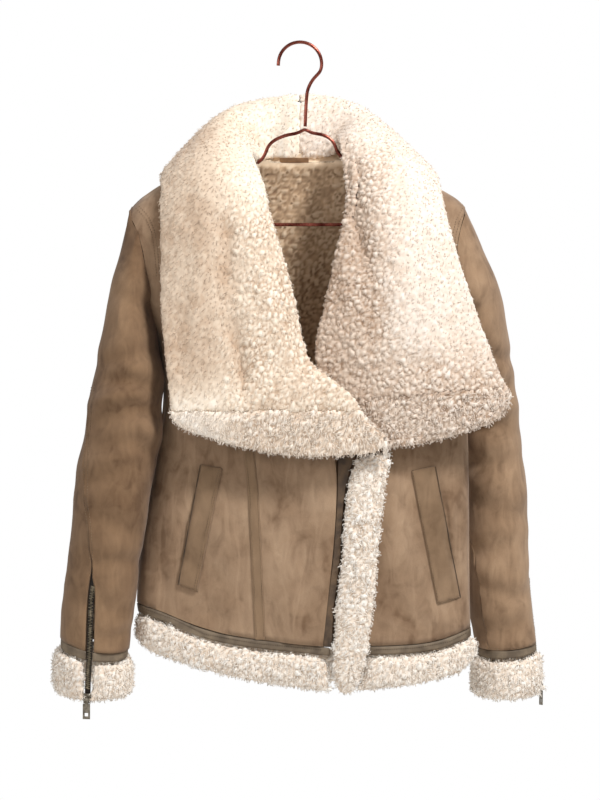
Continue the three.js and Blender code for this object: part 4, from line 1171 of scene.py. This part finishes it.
# %% Collar
WOOL_DEPTH = 0.0036
cloth = [left_side, left_centre, right_front, back, *SLEEVES.values()]
LEFT_NAP = {
    "shape": collar_shape("left"), "calm": calm_left, "painted_shade": painted_shade_left,
    "grid": 0.0021, "curl": 0.0066, "relief": 0.0036, "tall": 0.66,
}
RIGHT_NAP = {
    "shape": collar_shape("right"), "calm": calm_right, "painted_shade": painted_shade_right,
    "grid": 0.0021, "curl": 0.0068, "relief": 0.0042, "tall": 0.95,
}
FALL_WOOL = {"blockers": cloth, "thick": 0.0004, "bend": 2.3}
TRIM_WOOL = {"blockers": cloth, "thick": 0.0005, "bend": 2.1}
fleece("collar_left", fleece_left, WOOL_DEPTH, 0.0053, downwards, 51, LEFT_NAP, long=0.0036, **FALL_WOOL)
fleece("collar_right", fleece_right, WOOL_DEPTH, 0.0053, slack, 61, RIGHT_NAP, long=0.0034, **FALL_WOOL)
fleece("collar_trim_left", fleece_trim, WOOL_DEPTH, 0.0036, downwards, 71, LEFT_NAP, long=0.0056, **TRIM_WOOL)
fleece("collar_trim_right", fleece_right, WOOL_DEPTH, 0.0038, slack, 81, RIGHT_NAP, long=0.005, **TRIM_WOOL)

# %% [markdown]
# The hem, the cuffs and the front edge are rolls of longer wool. It fluffs up over
# the binding at the top edge and hangs below. The lay of each roll is worked out
# from its middle line: away from it on both sides.

# %% Lay of the rolls
HEM_MIDDLE = [
    (-215, -725), (-155, -743), (-100, -755), (-12, -768),
    (80, -774), (144, -772), (212, -752), (226, -738),
]
STRIP_MIDDLE = [
    (53, -817), (60, -791), (62, -755), (66, -700),
    (73, -627), (80, -556), (90, -518), (91, -496),
]


def rolled(middle_of, ripple, rise):
    """Lay of wool on a roll: up above its middle line, down below it."""
    def lay(spots, ways):
        up = np.clip((spots[:, 2] - middle_of(spots)) / 0.012, -1, 1)
        wave = ripple * np.sin(spots[:, 0] * 90)
        return np.stack([wave, np.full(len(spots), -0.05), rise * up], axis=1)

    return lay


def hem_height(spots):
    """Height of the hem's middle line, which changes along the front view."""
    xs, zs = zip(*HEM_MIDDLE)
    return np.interp(spots[:, 0] * 1000, xs, zs) / 1000


def outwards_from(table):
    """Lay of wool on the front edge: away from its middle line."""
    zs, xs = [row[1] for row in table], [row[0] for row in table]

    def lay(spots, ways):
        centre = np.interp(spots[:, 2] * 1000, zs, xs) / 1000
        away = np.clip((spots[:, 0] - centre) / 0.012, -1, 1)
        return np.stack([0.7 * away, np.full(len(spots), -0.1), np.full(len(spots), -0.35)], axis=1)

    return lay


print("roll tools ready")

# %% Hem, cuffs and front edge
ROLL_DEPTH = 0.0040
ROLL_NAP = {"grid": 0.0021, "curl": 0.0068, "relief": 0.0038, "tall": 0.85}
SHORT_WOOL = {"long": 0.0048, "thick": 0.0005, "bend": 2.3}
LONG_WOOL = {"long": 0.0052, "thick": 0.0006, "bend": 2.3}
CUFF_MIDDLE = 0.62
hem_lay = rolled(hem_height, 0.12, 0.8)
ROLLS = [
    ("hem_fur_left", 0.0038, hem_lay, 91, [left_side, left_centre], SHORT_WOOL),
    ("hem_fur_right", 0.0038, hem_lay, 92, [right_front], SHORT_WOOL),
    ("hem_fur_back", 0.0046, hem_lay, 93, [back], LONG_WOOL),
    ("front_fur", 0.0036, outwards_from(STRIP_MIDDLE), 94, cloth[:3], SHORT_WOOL),
]
for node, spacing, lay_of, seed, under, wool in ROLLS:
    fleece(node, fleece_edge, ROLL_DEPTH, spacing, lay_of, seed, ROLL_NAP, blockers=under, **wool)
for hand, seed in (("left", 95), ("right", 96)):
    node = f"cuff_fur_{hand}"
    low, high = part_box(node)
    centre = low[2] + (high[2] - low[2]) * CUFF_MIDDLE
    lay_of = rolled(lambda spots: centre, 0.15, 0.75)
    fleece(node, fleece_edge, ROLL_DEPTH, 0.0040, lay_of, seed, ROLL_NAP, reach=0.012, **SHORT_WOOL)

# %% [markdown]
# The pile inside shows through the neck, in shade. Its finish is a darker copy of
# the fleece, which paints that shade. The back panel has the pile only as a
# finish, so a sheet of curls is laid on the part that the neck lets you see: a
# grid is dropped onto the panel, raised into curls and given a thickness. Towards
# the hanging loop the curls lie down.

# %% Pile inside the neck
PILE_MIDDLE = (-0.008, -0.274)
PILE_SIZE = (0.24, 0.280)
PILE_LIFT = 0.0012
BEHIND = 0.045
UNDER_LOOP = -0.146
bpy.ops.object.select_all(action="DESELECT")
bpy.ops.mesh.primitive_grid_add(x_subdivisions=86, y_subdivisions=100, size=1)
pile = bpy.context.object
pile.name = "back_pile"
flat = points_of(pile)
x = PILE_MIDDLE[0] + flat[:, 0] * PILE_SIZE[0]
z = PILE_MIDDLE[1] + flat[:, 1] * PILE_SIZE[1]
back_tree = tree_of(back)[0]
laid = []
for px, pz in zip(x, z):
    hit = back_tree.ray_cast(Vector((px, -0.3, pz)), Vector((0, 1, 0)), 0.6)[0]
    laid.append((px, (hit.y if hit is not None else BEHIND) - PILE_LIFT, pz))
set_points(pile, np.array(laid))
only(pile)
bpy.ops.object.mode_set(mode="EDIT")
bpy.ops.mesh.select_all(action="SELECT")
bpy.ops.mesh.normals_make_consistent(inside=False)
bpy.ops.object.mode_set(mode="OBJECT")
if normals_of(pile)[:, 1].mean() > 0:
    pile.data.flip_normals()
nubs(pile, 0.0074, 0.0036, 98, calm=lambda at: np.clip((UNDER_LOOP - at[:, 2]) / 0.012, 0.1, 1))
apply_modifier(pile, "SOLIDIFY", thickness=0.0011, offset=-1)
only(pile)
bpy.ops.object.shade_smooth()
dress(pile, "jacket", "fur", fleece_inside_shaded)
print("pile inside the neck", triangles_of(pile), "triangles")

# %% [markdown]
# Stitches hold it all together. Each seam is one row of short threads that lie in
# the suede. A row is a line of the front view, dropped onto the cloth, so it sits
# on what carries it from any side. One small capsule is copied along each line.

# %% Rows of stitches
def on_cloth(trees, x, z, facing):
    """Point of the cloth in front or behind, and the way it faces."""
    for tree in trees:
        hit, way, _, _ = tree.ray_cast(Vector((x, facing * 0.3, z)), Vector((0, -facing, 0)), 0.6)
        if hit is not None:
            return hit, way
    return None, None


def row_of_stitches(trees, line, facing=-1, pitch=0.0034, lift=0.00025):
    """Places of the stitches along a line of (x, z) points in metres."""
    places = []
    walked = 0.0
    for (x1, z1), (x2, z2) in zip(line[:-1], line[1:]):
        long = math.hypot(x2 - x1, z2 - z1)
        while walked < long:
            share = walked / long
            x, z = x1 + (x2 - x1) * share, z1 + (z2 - z1) * share
            step = 0.001 / long
            first, way = on_cloth(trees, x, z, facing)
            second, _ = on_cloth(trees, x + (x2 - x1) * step, z + (z2 - z1) * step, facing)
            if first is not None and second is not None and (second - first).length < 0.01:
                places.append((first + way * lift, (second - first).normalized(), way))
            walked += pitch
        walked -= long
    return places


print("row tools ready")

# %% [markdown]
# Stitches and zip teeth are one small shape that is copied many times. The copies
# are joined in one mesh, each turned to three axes of its own.

# %% Copies of a small shape
def repeated(name, shape, stands):
    """One piece with a copy of a shape for each pair of three axes and a middle."""
    one = points_of(shape)
    faces = [tuple(p.vertices) for p in shape.data.polygons]
    bpy.data.objects.remove(shape)
    points = [one @ axes + middle for axes, middle in stands]
    all_faces = [tuple(v + i * len(one) for v in face) for i in range(len(stands)) for face in faces]
    mesh = bpy.data.meshes.new(name)
    mesh.from_pydata(np.concatenate(points).tolist(), [], all_faces)
    piece = bpy.data.objects.new(name, mesh)
    bpy.context.scene.collection.objects.link(piece)
    return piece


print("copies ready")

# %% Sewing
def sew(name, places, material, long=0.0024, thick=0.00042):
    """One mesh with a stitch on every place."""
    bpy.ops.object.select_all(action="DESELECT")
    bpy.ops.mesh.primitive_uv_sphere_add(segments=6, ring_count=4, radius=1)
    stitch = bpy.context.object
    stands = []
    for at, along, way in places:
        side = along.cross(way).normalized()
        up = side.cross(along)
        stands.append((np.array([side * thick, up * thick, along * long / 2]), np.array(at)))
    thread_piece = repeated(name, stitch, stands)
    faces = thread_piece.data.polygons
    faces.foreach_set("use_smooth", np.ones(len(faces), dtype=bool))
    dress(thread_piece, "jacket", "suede", material)
    print(name, len(places), "stitches", triangles_of(thread_piece), "triangles")
    return thread_piece


def beside(line, distance):
    """A line moved sideways by a distance in metres."""
    out = []
    for i, (x, z) in enumerate(line):
        x1, z1 = line[max(i - 1, 0)]
        x2, z2 = line[min(i + 1, len(line) - 1)]
        long = math.hypot(x2 - x1, z2 - z1)
        out.append((x - (z2 - z1) / long * distance, z + (x2 - x1) / long * distance))
    return out


def millimetres(*pairs):
    """Points given in millimetres of the front view, in metres."""
    return [(x / 1000, z / 1000) for x, z in pairs]


def places_in_view(*pairs):
    """Points given as places of the front view, in metres."""
    return [front(px, py) for px, py in pairs]


print("sewing tools ready")

# %% [markdown]
# On the front, the tape has a row along each edge. A pocket has rows across its
# ends and along the side nearer the middle. Along its mouth, a close row of thick
# dark threads paints the shadow in the opening.

# %% Stitches on the front
PRINCESS = millimetres((-63, -514), (-57.5, -566), (-55, -614), (-52.5, -671), (-49, -744))
POCKETS = {
    "left": millimetres((-122.5, -529), (-96, -534), (-127.5, -687), (-150, -679), (-122.5, -529)),
    "right": millimetres((167.5, -531), (137.5, -537), (170, -702), (199, -695), (167.5, -531)),
}
MOUTHS = {"left": millimetres((-124, -531), (-151.5, -679)), "right": millimetres((168.6, -533), (200.2, -695))}
FRONT_BANDS = (
    "seam_tape_left", "pocket_welt_left", "pocket_welt_right",
    "front_binding", "hem_binding_left", "hem_binding_right",
)
front_trees = tree_of(*[made[node + "_cloth"] for node in FRONT_BANDS], left_side, left_centre, right_front)
front_lines = [beside(PRINCESS, -0.0046), beside(PRINCESS, 0.0046)]
front_lines += [beside(POCKETS["left"][1:3], -0.0022), beside(POCKETS["left"][1:3], -0.0048)]
front_lines += [POCKETS["left"][0:2], POCKETS["left"][2:4], beside(POCKETS["right"][1:3], 0.0022)]
front_lines += [POCKETS["right"][0:2], POCKETS["right"][2:4]]
sew("front_stitches", sum((row_of_stitches(front_trees, line) for line in front_lines), []), thread)
# Painted shadow: a dark line of thick threads along each pocket's opening.
mouth_shadows = sum((row_of_stitches(front_trees, line, pitch=0.0017) for line in MOUTHS.values()), [])
sew("pocket_mouth_shadows", mouth_shadows, dark_thread, long=0.0026, thick=0.0008)

# %% [markdown]
# Each sleeve seam has a row on both sides. The armholes are sewn twice, and the
# hem is sewn once through its binding with a darker thread.

# %% Stitches on the sleeves and the hem
ELBOW = places_in_view((94, 380), (92, 400), (89, 451), (88, 498), (92, 526), (94, 557))
ARMHOLES = [
    places_in_view((139, 206), (149, 217), (155, 232), (158, 250), (160, 275)),
    places_in_view((136, 208), (146, 219), (152, 233), (155, 252), (157, 277)),
    places_in_view((463, 208), (456, 220), (452, 236), (450, 260), (449, 285)),
    places_in_view((466, 210), (459, 222), (455, 238), (453, 261), (452, 286)),
]
HEM_LINES = [
    millimetres((-196, -706), (-155, -719), (-117, -737), (-54, -748), (26, -755)),
    millimetres((92, -756), (144, -754), (186, -747), (206, -738)),
]
sleeve_trees = tree_of(*SLEEVES.values())
sleeve_rows = []
for distance in (-0.0022, 0.0022):
    sleeve_rows += row_of_stitches(sleeve_trees, beside(ELBOW, distance))
for line in ARMHOLES:
    sleeve_rows += row_of_stitches(front_trees, line)
sew("sleeve_stitches", sleeve_rows, thread)
hem_rows = []
for line in HEM_LINES:
    hem_rows += row_of_stitches(front_trees, beside(line, -0.003), pitch=0.0028)
sew("hem_stitches", hem_rows, dark_thread, long=0.0019)

# %% [markdown]
# The zips have real teeth: two rows of small metal blocks that mesh in the middle
# of the tape. Their line is taken from the chain's solid, which the teeth replace.
# Slider and pull are plain hard solids, so they keep their mesh and get a finish.

# %% Zip teeth
TEETH = 90
TOOTH = (0.0036, 0.0026, 0.00105)
TOOTH_OFFSET = 0.00085


def teeth(hand):
    """All teeth of one zip as one mesh."""
    line = ZIPS[hand]
    share = np.linspace(0, ZIP_STEPS - 1, TEETH + 2)
    smooth_line = np.array([np.interp(share, np.arange(ZIP_STEPS), line[:, k]) for k in range(3)]).T
    bpy.ops.object.select_all(action="DESELECT")
    bpy.ops.mesh.primitive_cube_add(size=1)
    tooth = bpy.context.object
    apply_modifier(tooth, "BEVEL", width=0.16, segments=1, limit_method="NONE")
    stands = []
    for i in range(1, len(smooth_line) - 1):
        at = smooth_line[i]
        along = smooth_line[i + 1] - smooth_line[i - 1]
        along /= np.linalg.norm(along)
        out = at - arm_axis(hand, at[None])[0]
        out -= along * (out @ along)
        out /= np.linalg.norm(out)
        side = np.cross(along, out)
        place = at + side * (TOOTH_OFFSET if i % 2 else -TOOTH_OFFSET)
        stands.append((np.array([side * TOOTH[0], out * TOOTH[1], along * TOOTH[2]]), place))
    piece = repeated(f"zip_teeth_{hand}", tooth, stands)
    dress(piece, "jacket", "brass", brass, f"zip_chain_{hand}")
    print(piece.name, triangles_of(piece), "triangles")
    return piece


for hand in ("left", "right"):
    teeth(hand)
    band = fine_copy(f"zip_tape_{hand}", f"zip_tape_{hand}_cloth", 1)
    dress(band, "jacket", "tape", tape, f"zip_tape_{hand}")
    for part in ("slider", "pull"):
        node = nodes[f"zip_{part}_{hand}"]
        node.data.materials.clear()
        node.data.materials.append(nickel)

# %% [markdown]
# The hanger is bent from copper-plated wire. Its solid has eight sides, so a
# subdivided copy makes it round. The leather loop inside the neck is finished in
# the same way.

# %% Hanger and loop
for node in ("hanger_hook", "hanger_frame"):
    rod = fine_copy(node, node + "_wire", 2, rim=80)
    only(rod)
    bpy.ops.object.shade_smooth()
    dress(rod, "jacket", "copper", copper, node)
loop = fine_copy("hanging_loop", "hanging_loop_leather", 2, rim=50, rim_crease=0.6)
dress(loop, "jacket", "loop", loop_leather, "hanging_loop")
print("hanger and loop done")

# %% [markdown]
# The size that each collar half was cut to is listed: width and length in
# metres, and the area in square metres. Sizes are measured along the sewn pieces.
# The loop below only looks up the skin and wool of each half.

# %% Sheets
COLLAR_FLAT = {"collar_left": (0.26, 0.50, 0.105), "collar_right": (0.26, 0.48, 0.100)}
for node, (wide, long, area) in COLLAR_FLAT.items():
    under, wool = bpy.data.objects[node + "_skin"], bpy.data.objects[node + "_wool"]

# %% [markdown] The floor gets a pale finish last.

# %% Sizes and finish
floor_finish = Finish("floor_pale", 0.9)
floor_colour = floor_finish.blend(floor_finish.noise(3), tint(238, 237, 235), tint(246, 245, 243))
floor.data.materials.append(floor_finish.use(floor_colour))
total = sum(triangles_of(piece) for piece in made.values())
print("pieces", len(made), "triangles", total)
low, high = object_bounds()
